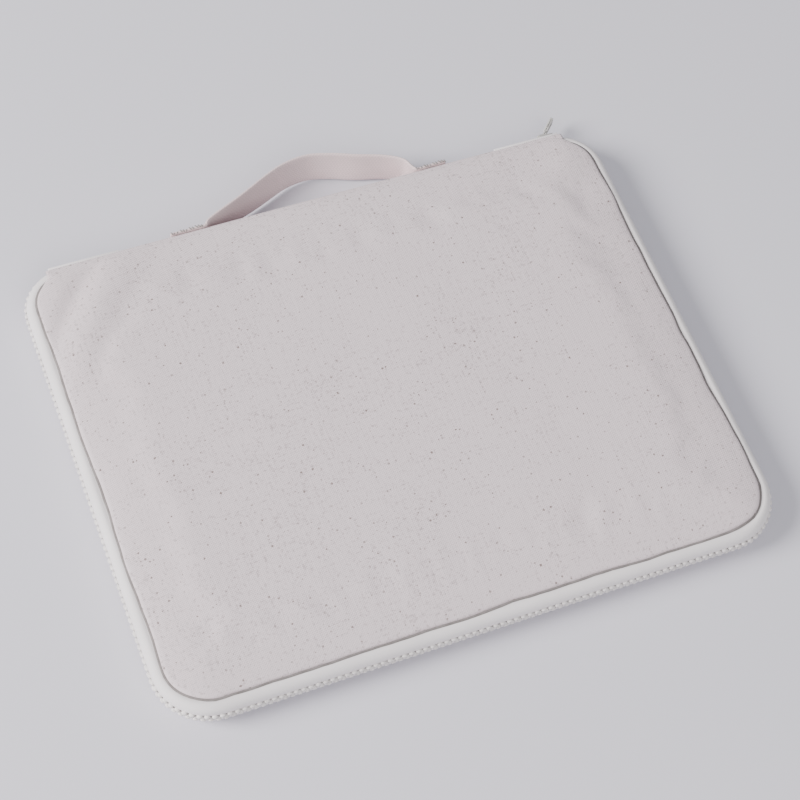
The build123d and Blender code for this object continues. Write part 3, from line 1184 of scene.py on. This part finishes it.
    def tape_profile(self) -> list[tuple[float, float]]:
        """Section of the zip tape: a flange in the seam that rolls over and down to the teeth."""
        places = ((-6, 7.95), (-2.2, 7.9), (-0.6, 7.6), (0.7, 7.85), (1.7, 8.25), (3.2, 7.8), (4.6, 6.7),
                  (5.3, 5.5), (5.7, 4.1), (5.75, 2.9), (5.7, 1.9))
        return [(out * MM, height * MM) for out, height in places]

    def build_tape(self) -> None:
        """Woven zip tape round three sides."""
        bm = self.track.sweep(self.tape_profile(), self.up)
        self.face_outwards(bm)
        piece = finish_piece(bm, f"{self.side.word}_tape_woven", TAPE)
        thicken(piece, self.tape_thickness, offset=-1)
        subdivide(piece)
        apply_modifiers(piece)
        hand_over(piece, self.side.body, "zip_tape", f"{self.side.word}_zip_tape")

    def face_outwards(self, bm: bmesh.types.BMesh) -> None:
        """Turn a swept sheet's faces away from the middle of the sleeve."""
        bm.faces.ensure_lookup_table()
        outer = max(bm.faces, key=lambda face: face.calc_center_median().x)
        if outer.normal.x < 0:
            bmesh.ops.reverse_faces(bm, faces=bm.faces[:])

    def build_seam(self) -> None:
        """Dark strip in the groove between the panel and the tape: the seam's stitching, and painted shade of
        the groove.
        """
        places = [(out * MM, height * MM) for out, height in ((-0.8, 7.95), (0.1, 8.1), (0.95, 7.85))]
        bm = self.track.sweep(places, self.up)
        self.loosen_edge(bm)
        self.face_outwards(bm)
        piece = finish_piece(bm, f"{self.side.word}_seam_thread", SEAM)
        thicken(piece, 0.3 * MM, offset=0)
        apply_modifiers(piece)
        hand_over(piece, self.side.body, "thread")

    def build_teeth(self) -> None:
        """Row of moulded teeth; the two rows are half a pitch apart."""
        shift = self.pitch / 2 if self.side is Side.FRONT else self.pitch
        bm = teeth_row(self.track.frames(self.pitch, shift), self.track.middle, self.up)
        hand_over(finish_piece(bm, f"{self.side.word}_teeth_row", TEETH), self.side.body, "zip_teeth",
                  f"{self.side.word}_zip_teeth")


def tooth_mesh() -> bpy.types.Mesh:
    """One tooth at the origin: a bead that grips the tape, and a narrower head that meshes."""
    bm = bmesh.new()
    add_block(bm, (2.7 * MM, 2.4 * MM, 2.0 * MM), Vector((0, -0.2 * MM, 1.55 * MM)), 0.6 * MM, 1)
    add_block(bm, (1.5 * MM, 1.8 * MM, 1.7 * MM), Vector((0, -0.3 * MM, 0.1 * MM)), 0.35 * MM, 1)
    tooth = bpy.data.meshes.new("tooth")
    bm.to_mesh(tooth)
    bm.free()
    return tooth


def teeth_row(frames: Sequence[tuple[Vector, Vector]], middle: float, up: int,
              lift: float = 0.0) -> bmesh.types.BMesh:
    """Copy the tooth to each place of a row.

    Args:
        frames: Points of the row with their outward directions.
        middle: Height of the middle plane.
        up: 1 for the upper row and -1 for the lower one.
        lift: How far the row stands back from the middle plane.

    Returns:
        The row's mesh.
    """
    tooth = tooth_mesh()
    bm = bmesh.new()
    for point, outward in frames:
        known = len(bm.verts)
        bm.from_mesh(tooth)
        bm.verts.ensure_lookup_table()
        vertical = Vector((0, 0, up))
        turn = Matrix((outward.cross(vertical), outward, vertical)).transposed().to_4x4()
        place = Matrix.Translation((point.x, point.y, middle + up * lift)) @ turn
        bmesh.ops.transform(bm, matrix=place, verts=bm.verts[known:])
    bpy.data.meshes.remove(tooth)
    return bm


# ---- Spine -------------------------------------------------------------------------------
@dataclass
class Spine:
    """Canvas wall that joins the halves on the handle side, with its padding, lining and folds."""

    canvas: float = 0.8 * MM
    fold_half: float = 149.5 * MM
    fold_thickness: float = 0.5 * MM
    belly: float = 0.35 * MM
    cell: float = 5 * MM

    def strip(self, profile: Sequence[tuple[float, float]], half_width: float) -> bmesh.types.BMesh:
        """Extrude a section along X.

        Args:
            profile: Points of the section, as y and z.
            half_width: Half of the strip's length.

        Returns:
            The strip, with a UV map.
        """
        bm = bmesh.new()
        across = bm.verts.layers.float.new("across")
        chain = [bm.verts.new((-half_width, y, z)) for y, z in profile]
        for previous, vert in zip(chain, chain[1:]):
            vert[across] = previous[across] + (vert.co - previous.co).length
        edges = [bm.edges.new(pair) for pair in zip(chain, chain[1:])]
        steps = round(2 * half_width / self.cell)
        for _ in range(steps):
            grown = bmesh.ops.extrude_edge_only(bm, edges=edges)["geom"]
            verts = [item for item in grown if isinstance(item, bmesh.types.BMVert)]
            bmesh.ops.translate(bm, verts=verts, vec=(2 * half_width / steps, 0, 0))
            edges = edges_between(grown, verts)
        uv = bm.loops.layers.uv.new("track")
        for face in bm.faces:
            for loop in face.loops:
                loop[uv].uv = (loop.vert.co.x, loop.vert[across])
        bmesh.ops.recalc_face_normals(bm, faces=bm.faces[:])
        bm.faces.ensure_lookup_table()
        if sum(face.normal.y for face in bm.faces) < 0:
            bmesh.ops.reverse_faces(bm, faces=bm.faces[:])
        return bm

    def build(self) -> None:
        """Make every piece of the spine."""
        low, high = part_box("spine_strip")
        places = [low.z + share * (high.z - low.z) for share in (0, 0.06, 0.2, 0.4, 0.6, 0.8, 0.94, 1)]
        wall = [(high.y + self.belly * math.sin(math.pi * (z - low.z) / (high.z - low.z)), z) for z in places]
        half_width = -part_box("zip_bottom_stop")[1].x - 0.1 * MM
        piece = finish_piece(self.strip(wall, half_width), "spine_canvas", CANVAS)
        thicken(piece, self.canvas, offset=-1)
        subdivide(piece)
        apply_modifiers(piece)
        hand_over(piece, "spine", "canvas", "spine_strip")
        for side in Side:
            self.build_fold(side, high)
        self.build_inside()

    def build_fold(self, side: Side, high: Vector) -> None:
        """Canvas that carries on from the panel's far edge round to the spine.

        Args:
            side: Shell that the fold joins to the spine.
            high: Upper corner of the spine's box.
        """
        panel_low, panel_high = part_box(f"{side.word}_panel")
        seam = panel_low.z if side is Side.FRONT else panel_high.z
        up = side.value
        wall = high.y - 0.15 * MM
        edge = panel_high.y - 0.9 * MM
        bend = seam + up * 0.75 * MM
        profile = [(edge - 4 * MM, bend), (edge, bend), (edge + 1.3 * MM, bend - up * 0.1 * MM),
                   (wall - 0.4 * MM, bend - up * 0.75 * MM), (wall, bend - up * 1.7 * MM),
                   (wall, bend - up * 3.2 * MM), (wall, bend - up * 5.5 * MM)]
        piece = finish_piece(self.strip(profile, self.fold_half), f"{side.word}_fold_canvas", CANVAS)
        if sum(face.normal.z for face in piece.data.polygons) * up < 0:
            piece.data.flip_normals()
        thicken(piece, self.fold_thickness, offset=-1)
        subdivide(piece)
        apply_modifiers(piece)
        side.body
        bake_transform(piece)
        log.info("%s bends between %s and spine", piece.name, side.body)

    def build_inside(self) -> None:
        """Padding and lining."""
        low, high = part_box("spine_padding")
        bm = bmesh.new()
        add_block(bm, high - low, (low + high) / 2, 0.35 * MM)
        foam = finish_piece(bm, "spine_foam", FOAM)
        hand_over(foam, "spine", "foam", "spine_padding")
        low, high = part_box("spine_lining")
        face = (low.y + high.y) / 2
        places = [(face, low.z + share * (high.z - low.z)) for share in (0, 0.25, 0.5, 0.75, 1)]
        lining = finish_piece(self.strip(places, high.x), "spine_lining_cotton", LINING)
        thicken(lining, high.y - low.y)
        apply_modifiers(lining)
        hand_over(lining, "spine", "lining", "spine_lining")


# ---- Zip ends, stops and slider ----------------------------------------------------------
@dataclass
class ZipEnds:
    """Ends of the zip that lie on the spine: tapes, teeth and metal stops."""

    middle: float
    pitch: float = 3.72 * MM
    open_lift: float = 1.5 * MM
    open_gap: float = 2.3 * MM
    closed_gap: float = 1.0 * MM
    stop_height: float = 2.2 * MM

    def build(self) -> None:
        """Make the pieces of both ends."""
        for word in ("left", "right"):
            self.build_tapes(word)
            self.build_teeth(word)
        self.build_stop("zip_bottom_stop", (1,))
        self.build_stop("zip_top_stops", (1, -1))

    def build_tapes(self, word: str) -> None:
        """Upper and lower tape of one end."""
        low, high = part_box(f"{word}_zip_end_tapes")
        inner = self.open_lift + (self.open_gap if word == "right" else self.closed_gap)
        height = high.z - self.middle - inner
        centre = (low + high) / 2
        bm = bmesh.new()
        for up in (1, -1):
            centre.z = self.middle + up * (inner + height / 2)
            add_block(bm, (high.x - low.x, high.y - low.y, height), centre, 0.25 * MM)
        map_flat(bm)
        hand_over(finish_piece(bm, f"{word}_end_tapes", TAPE), "spine", "zip_tape", f"{word}_zip_end_tapes")

    def build_teeth(self, word: str) -> None:
        """Teeth of one end: closed on the left, and parted past the slider on the right."""
        low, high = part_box(f"{word}_zip_end_teeth")
        lift = self.open_lift if word == "right" else 0.0
        count = int((high.x - low.x - self.pitch) / self.pitch)
        bm = bmesh.new()
        for up in (1, -1):
            first = low.x + self.pitch * (0.5 if up == 1 else 1.0)
            frames = [(Vector((first + k * self.pitch, (low.y + high.y) / 2, 0)), Vector((0, 1, 0)))
                      for k in range(count + 1)]
            merge(bm, teeth_row(frames, self.middle, up, lift))
        hand_over(finish_piece(bm, f"{word}_end_teeth", TEETH), "spine", "zip_teeth", f"{word}_zip_end_teeth")

    def build_stop(self, node: str, sides: Sequence[int]) -> None:
        """Crimped metal stop, one for each side that is named."""
        low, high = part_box(node)
        centre = (low + high) / 2
        height = high.z - low.z if len(sides) == 1 else self.stop_height
        bm = bmesh.new()
        for up in sides:
            if len(sides) > 1:
                centre.z = self.middle + up * (high.z - self.middle - height / 2)
            add_block(bm, (high.x - low.x, high.y - low.y, height), centre, 0.4 * MM)
        hand_over(finish_piece(bm, f"{node}_metal", ENAMEL), "spine", "stop_metal", node)


@dataclass
class Slider:
    """Zip slider with its crown and pull."""

    plate: float = 1.3 * MM
    corner: float = 0.55 * MM
    taper: float = 0.22
    lip_height: float = 1.1 * MM
    wedge: float = 2.0 * MM
    link_wire: float = 0.45 * MM
    link_radius: float = 2.3 * MM
    tab_thickness: float = 1.5 * MM
    rim_thickness: float = 2.1 * MM
    rim_width: float = 1.1 * MM
    bar_width: float = 1.2 * MM
    edge: float = 0.45 * MM
    neck: float = 0.72

    def build(self) -> None:
        """Make the slider's pieces."""
        self.build_body()
        self.build_crown()
        self.build_pull()

    def build_body(self) -> None:
        """Two plates joined by a wedge, with lips that guide the tapes."""
        low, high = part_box("slider_body")
        middle = (low + high) / 2
        length, height = high.x - low.x, high.z - low.z
        bm = bmesh.new()
        for y, inward in ((high.y - self.plate / 2, -1), (low.y + self.plate / 2, 1)):
            add_block(bm, (length, self.plate, height), Vector((middle.x, y, middle.z)), self.corner, 3)
            for up in (1, -1):
                level = middle.z + up * (height - self.lip_height) / 2
                lip = Vector((middle.x, y + inward * self.plate * 0.75, level))
                add_block(bm, (length * 0.82, self.plate * 1.3, self.lip_height), lip, 0.4 * MM)
        wedge = Vector((low.x + 0.8 * self.wedge, middle.y, middle.z))
        add_block(bm, (self.wedge, high.y - low.y - self.plate, self.wedge), wedge, 0.5 * MM)
        for vert in bm.verts:
            share = smoothstep((vert.co.x - middle.x) / (length / 2))
            vert.co.z = middle.z + (vert.co.z - middle.z) * (1 - self.taper * share)
        hand_over(finish_piece(bm, "slider_cast_body", ENAMEL), "slider", "slider_metal", "slider_body")

    def build_crown(self) -> None:
        """Arched bridge that holds the pull."""
        low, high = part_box("slider_crown")
        middle = (low + high) / 2
        radius = (high.x - low.x) / 2 - self.plate / 2
        bm = bmesh.new()
        foot = Matrix.Translation((middle.x - radius, low.y, middle.z)) @ Matrix.Rotation(math.pi / 2, 4, "X")
        bmesh.ops.create_circle(bm, segments=8, radius=self.plate / 2, matrix=foot, cap_ends=True)
        bmesh.ops.spin(bm, geom=bm.faces[:], cent=(middle.x, low.y, middle.z), axis=(0, 0, -1),
                       angle=math.pi, steps=12, use_duplicate=False)
        for vert in bm.verts:
            vert.co.y = low.y + (vert.co.y - low.y) * (high.y - low.y) / (radius + self.plate / 2)
            vert.co.z = middle.z + (vert.co.z - middle.z) * (high.z - low.z) / self.plate
        bmesh.ops.recalc_face_normals(bm, faces=bm.faces[:])
        hand_over(finish_piece(bm, "slider_cast_crown", ENAMEL), "slider", "slider_metal", "slider_crown")

    def build_pull(self) -> None:
        """Link round the crown and a tab with a raised rim and a rounded, narrower tip."""
        pivot = Vector(frame_joint("pull_swing")["pos_m"])
        low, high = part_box("pull_tab")
        tip = Vector((high.x, high.y, pivot.z))
        heading = (tip - pivot).normalized()
        reach = (tip - pivot).length
        width = high.z - low.z
        turn = Matrix((heading, Vector((0, 0, 1)).cross(heading), (0, 0, 1))).transposed().to_4x4()
        place = Matrix.Translation(pivot) @ turn
        bm = bmesh.new()
        for part in (self.link_mesh(), self.tab_mesh(reach, width)):
            bmesh.ops.transform(part, matrix=place, verts=part.verts[:])
            merge(bm, part)
        hand_over(finish_piece(bm, "pull_cast_tab", ENAMEL), "pull", "slider_metal", "pull_tab")

    def link_mesh(self) -> bmesh.types.BMesh:
        """Wire ring through the crown, with the pivot at the origin and the tab along X."""
        link = bmesh.new()
        wire = Matrix.Translation((self.link_radius, 0, 0)) @ Matrix.Rotation(math.pi / 2, 4, "X")
        bmesh.ops.create_circle(link, segments=8, radius=self.link_wire, matrix=wire)
        bmesh.ops.spin(link, geom=link.verts[:] + link.edges[:], cent=(0, 0, 0), axis=(0, 0, 1),
                       angle=2 * math.pi, steps=20, use_merge=True, use_duplicate=False)
        bmesh.ops.recalc_face_normals(link, faces=link.faces[:])
        shift = Matrix.Translation((self.link_radius * 0.7, 0, 0))
        stand = Matrix.Rotation(math.pi / 2, 4, "X") @ shift
        bmesh.ops.transform(link, matrix=stand, verts=link.verts[:])
        return link

    def tab_mesh(self, reach: float, width: float) -> bmesh.types.BMesh:
        """Tab with a raised rim, narrower at its neck.

        Args:
            reach: Distance of its tip from the pivot.
            width: Its width at the tip.

        Returns:
            The tab along X, with the pivot at the origin.
        """
        start = self.link_radius * 1.5
        length = reach - start
        middle = start + length / 2
        tab = bmesh.new()
        add_block(tab, (length, self.tab_thickness, width), Vector((middle, 0, 0)), self.edge, 3)
        for side in (-1, 1):
            rim = Vector((middle, 0, side * (width - self.rim_width) / 2))
            add_block(tab, (length, self.rim_thickness, self.rim_width), rim, self.edge)
            bar = Vector((middle - side * (length - self.bar_width) / 2, 0, 0))
            add_block(tab, (self.bar_width, self.rim_thickness, width), bar, self.edge)
        for vert in tab.verts:
            share = smoothstep((vert.co.x - start) / length)
            vert.co.z *= self.neck + (1 - self.neck) * share
        return tab


# ---- Handle ------------------------------------------------------------------------------
@dataclass
class Handle:
    """Webbing strap whose ends are sewn flat on the spine and whose loop stands out from it."""

    width: float = 19 * MM
    thickness: float = 1.5 * MM
    lean: float = 4.2 * MM
    curl: float = 0.5 * MM
    samples: int = 150
    across: int = 8
    middle: float = 11 * MM

    def route(self) -> list[Vector]:
        """Chosen points of the strap's middle line, seen from above, from the left end to the right."""
        low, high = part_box("handle_loop")
        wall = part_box("handle_end_left")[0].y + self.thickness / 2 + 0.15 * MM
        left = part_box("handle_end_left")[0].x
        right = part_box("handle_end_right")[1].x
        out = high.y - wall
        reach = (high.x - low.x) / 2
        stand = ((-0.985, 0.02), (-0.93, 0.14), (-0.6, 0.45), (-0.3, 0.76), (-0.1, 0.92), (0.12, 0.97),
                 (0.34, 0.86), (0.56, 0.68), (0.8, 0.5), (0.955, 0.3), (1.0, 0.1))
        loop = [Vector((reach * x, wall + out * y, 0)) for x, y in stand]
        root = reach * 1.04
        head = [Vector((x, wall, 0)) for x in (left, (left - reach) / 2, -root)]
        tail = [Vector((x, wall, 0)) for x in (root, (right + reach) / 2, right)]
        return head + loop + tail

    def line(self) -> tuple[list[tuple[Vector, Vector]], float]:
        """Even samples of the smooth line through the route, with their directions, and its length."""
        points = self.route()
        padded = [points[0] * 2 - points[1]] + points + [points[-1] * 2 - points[-2]]
        parts = 24
        fine = []
        for a, b, c, d in zip(padded, padded[1:], padded[2:], padded[3:]):
            for k in range(parts):
                t = k / parts
                fine.append(0.5 * (2 * b + (c - a) * t + (2 * a - 5 * b + 4 * c - d) * t ** 2
                                   + (3 * b - a - 3 * c + d) * t ** 3))
        fine.append(points[-1])
        lengths = [0.0]
        for a, b in zip(fine, fine[1:]):
            lengths.append(lengths[-1] + (b - a).length)
        found = []
        index = 0
        for k in range(self.samples + 1):
            goal = lengths[-1] * k / self.samples
            while index < len(fine) - 2 and lengths[index + 1] < goal:
                index += 1
            share = (goal - lengths[index]) / max(lengths[index + 1] - lengths[index], 1e-9)
            heading = (fine[index + 1] - fine[index]).normalized()
            found.append((fine[index].lerp(fine[index + 1], share), heading))
        return found, lengths[-1]

    def build(self) -> None:
        """Make the strap, its stitches and the stiff backings."""
        self.build_strap()
        for word in ("left", "right"):
            self.build_bartacks(word)
            self.build_backing(word)

    def build_strap(self) -> None:
        """One length of webbing, bent over a grid."""
        low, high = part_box("handle_loop")
        middle = (low.z + high.z) / 2
        line, length = self.line()
        bm = bmesh.new()
        bmesh.ops.create_grid(bm, x_segments=self.samples, y_segments=self.across, size=1)
        uv = bm.loops.layers.uv.new("track")
        for face in bm.faces:
            for loop in face.loops:
                spot = loop.vert.co
                loop[uv].uv = ((spot.x + 1) / 2 * length, spot.y * self.width / 2)
        wall = line[0][0].y
        for vert in bm.verts:
            number = round((vert.co.x + 1) / 2 * self.samples)
            side = vert.co.y
            point, heading = line[number]
            stand = smoothstep((point.y - wall) / (22 * MM))
            outward = Vector((-heading.y, heading.x, 0))
            flare = self.lean * stand * (side - 1) / 2 + self.curl * (1 - side ** 2)
            vert.co = Vector((point.x, point.y, middle + side * self.width / 2)) + outward * flare
        bmesh.ops.recalc_face_normals(bm, faces=bm.faces[:])
        piece = finish_piece(bm, "handle_webbing", WEBBING)
        thicken(piece, self.thickness)
        subdivide(piece)
        apply_modifiers(piece)
        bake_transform(piece)
        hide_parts("handle_loop", "handle_end_left", "handle_end_right")
        log.info("%s bends between spine and handle", piece.name)

    def build_bartacks(self, word: str) -> None:
        """Close zigzag stitches that hold one end of the strap."""
        node = f"handle_bartacks_{word}"
        low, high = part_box(node)
        bm = bmesh.new()
        stitch = Vector((2.6, 0.5, 0.62)) * MM
        count = 15
        for column in (low.x + stitch.x / 2, high.x - stitch.x / 2):
            for k in range(count):
                level = low.z + (high.z - low.z) * (k + 0.5) / count
                lean = Matrix.Rotation(math.radians(9 if k % 2 else -9), 4, "Y")
                add_block(bm, stitch, Vector((column, high.y - 0.1 * MM, level)), 0.16 * MM, 1, lean)
        self.add_overcast(bm, word)
        hand_over(finish_piece(bm, f"bartack_stitches_{word}", THREAD), "spine", "thread", node)

    def add_overcast(self, bm: bmesh.types.BMesh, word: str) -> None:
        """Uneven threads whipped over the upper and lower edge of one sewn-down end."""
        low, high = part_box(f"handle_end_{word}")
        count = 11
        for k in range(count):
            jitter = noise.noise(Vector((k * 1.7, 3, 5)))
            x = low.x + (high.x - low.x) * (k + 0.5 + 0.7 * jitter) / count
            stitch = Vector((0.6 + 0.3 * jitter, 1.9 + jitter, 0.6)) * MM
            lean = Matrix.Rotation(math.radians(15 + 70 * jitter), 4, "Z")
            y = (low.y + high.y) / 2 + jitter * MM
            for edge in (self.middle - self.width / 2, self.middle + self.width / 2):
                add_block(bm, stitch, Vector((x, y, edge)), 0.2 * MM, 1, lean)

    def build_backing(self, word: str) -> None:
        """Stiff patch inside the spine behind one end."""
        node = f"handle_backing_{word}"
        low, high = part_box(node)
        bm = bmesh.new()
        add_block(bm, high - low, (low + high) / 2, 0.3 * MM)
        map_flat(bm)
        hand_over(finish_piece(bm, f"backing_patch_{word}", BINDING), "spine", "binding", node)


# ---- Studio ------------------------------------------------------------------------------
@dataclass(frozen=True)
class Lamp:
    """One large soft window of light that faces the sleeve."""

    name: str
    place: tuple[float, float, float]
    size: float
    power: float
    tint: tuple[float, float, float] = (1.0, 0.985, 0.97)

    def build(self) -> None:
        """Hang the lamp and turn it towards the sleeve."""
        data = bpy.data.lights.new(self.name, "AREA")
        data.shape = "DISK"
        data.size = self.size
        data.energy = self.power
        data.color = self.tint
        lamp = bpy.data.objects.new(self.name, data)
        lamp.location = self.place
        lamp.rotation_euler = Vector(self.place).to_track_quat("Z", "Y").to_euler()
        bpy.context.scene.collection.objects.link(lamp)


@dataclass
class Studio:
    """Camera, floor and light."""

    position: tuple[float, float, float] = (-0.250815, -0.446869, 0.919830)
    azimuth: float = -29.4855
    elevation: float = 60.3945
    roll: float = 9.6471
    lens: float = 90.0
    floor: Colour = (0.68, 0.663, 0.73, 1)
    floor_half: float = 20.0
    sky: float = 0.50
    lamps: Sequence[Lamp] = (
        Lamp("side_window", (-2.5, 0.35, 1.65), 1.5, 166.0),
        Lamp("front_window", (-0.1, -1.9, 1.9), 1.8, 34.0),
    )

    def build(self) -> None:
        """Set the whole studio."""
        self.build_camera()
        self.build_floor()
        for lamp in self.lamps:
            lamp.build()
        self.build_sky()

    def build_camera(self) -> None:
        """Aim the camera by its turn, tilt and roll."""
        turn, tilt, lean = (math.radians(angle) for angle in (self.azimuth, self.elevation, self.roll))
        back = Vector((math.sin(turn) * math.cos(tilt), -math.cos(turn) * math.cos(tilt), math.sin(tilt)))
        right = (-back).cross(Vector((0, 0, 1))).normalized()
        above = right.cross(-back)
        rolled_right = right * math.cos(lean) + above * math.sin(lean)
        rolled_above = above * math.cos(lean) - right * math.sin(lean)
        data = bpy.data.cameras.new("camera")
        data.lens = self.lens
        data.sensor_width = 36.0
        camera = bpy.data.objects.new("camera", data)
        camera.matrix_world = (Matrix.Translation(self.position)
                               @ Matrix((rolled_right, rolled_above, back)).transposed().to_4x4())
        bpy.context.scene.collection.objects.link(camera)
        bpy.context.scene.camera = camera

    def build_floor(self) -> None:
        """Plain pale surface."""
        bm = bmesh.new()
        bmesh.ops.create_grid(bm, x_segments=1, y_segments=1, size=self.floor_half)
        floor = finish_piece(bm, "floor", FloorFinish("pale_floor", self.floor), smooth=False)
        floor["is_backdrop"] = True

    def build_sky(self) -> None:
        """Even light from all round."""
        world = bpy.data.worlds.new("sky")
        world.use_nodes = True
        sky = world.node_tree.nodes["Background"]
        sky.inputs["Color"].default_value = (0.93, 0.95, 1.0, 1)
        sky.inputs["Strength"].default_value = self.sky
        bpy.context.scene.world = world


FRONT_DENTS = (
    Dent(0.150, 0.088, 1.3 * MM, 0.016, 0.010, 12),
    Dent(0.146, 0.046, 1.0 * MM, 0.015, 0.012, -8),
    Dent(0.120, 0.110, 0.8 * MM, 0.026, 0.012, 20),
    Dent(-0.060, 0.118, 0.6 * MM, 0.050, 0.012),
)
FRONT_DROOP = Droop(crease_start=(-0.160, 0.074), crease_end=(-0.113, 0.128), flap=2.6 * MM, width=7 * MM,
                    ridge=2.0 * MM, valley=3.0 * MM)


def frame_joint(name: str) -> dict:
    """Joint of the frame, by name."""
    return next(joint for joint in frame["joints"] if joint["name"] == name)


def main() -> None:
    """Build every sub-assembly round the frame."""
    logging.basicConfig(level=logging.INFO, format="%(message)s")
    model_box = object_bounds()
    Studio().build()
    low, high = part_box("front_panel")
    middle = (high.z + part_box("back_panel")[0].z) / 2
    seam = Outline(high.x, low.y, -low.y, NEAR_RADIUS, FAR_RADIUS)
    panel = Outline(high.x, low.y, -low.y, NEAR_RADIUS, FAR_RADIUS, high.y + low.y, OVERHANG_END)
    track = Track(seam, split=TRACK_SPLIT, middle=middle)
    for side in Side:
        panel_low, panel_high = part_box(f"{side.word}_panel")
        seam_height = min(abs(panel_low.z - middle), abs(panel_high.z - middle))
        shell = Shell(side, panel, track, seam_height)
        if side is Side.FRONT:
            shell.dents, shell.droop = FRONT_DENTS, FRONT_DROOP
        shell.build()
    Spine().build()
    ZipEnds(middle).build()
    Slider().build()
    Handle(middle=middle).build()
    boxes = {"cad": model_box, "visual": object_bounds()}
    sizes = {name: [list(corner) for corner in box] for name, box in boxes.items()}


if __name__ == "__main__":
    main()
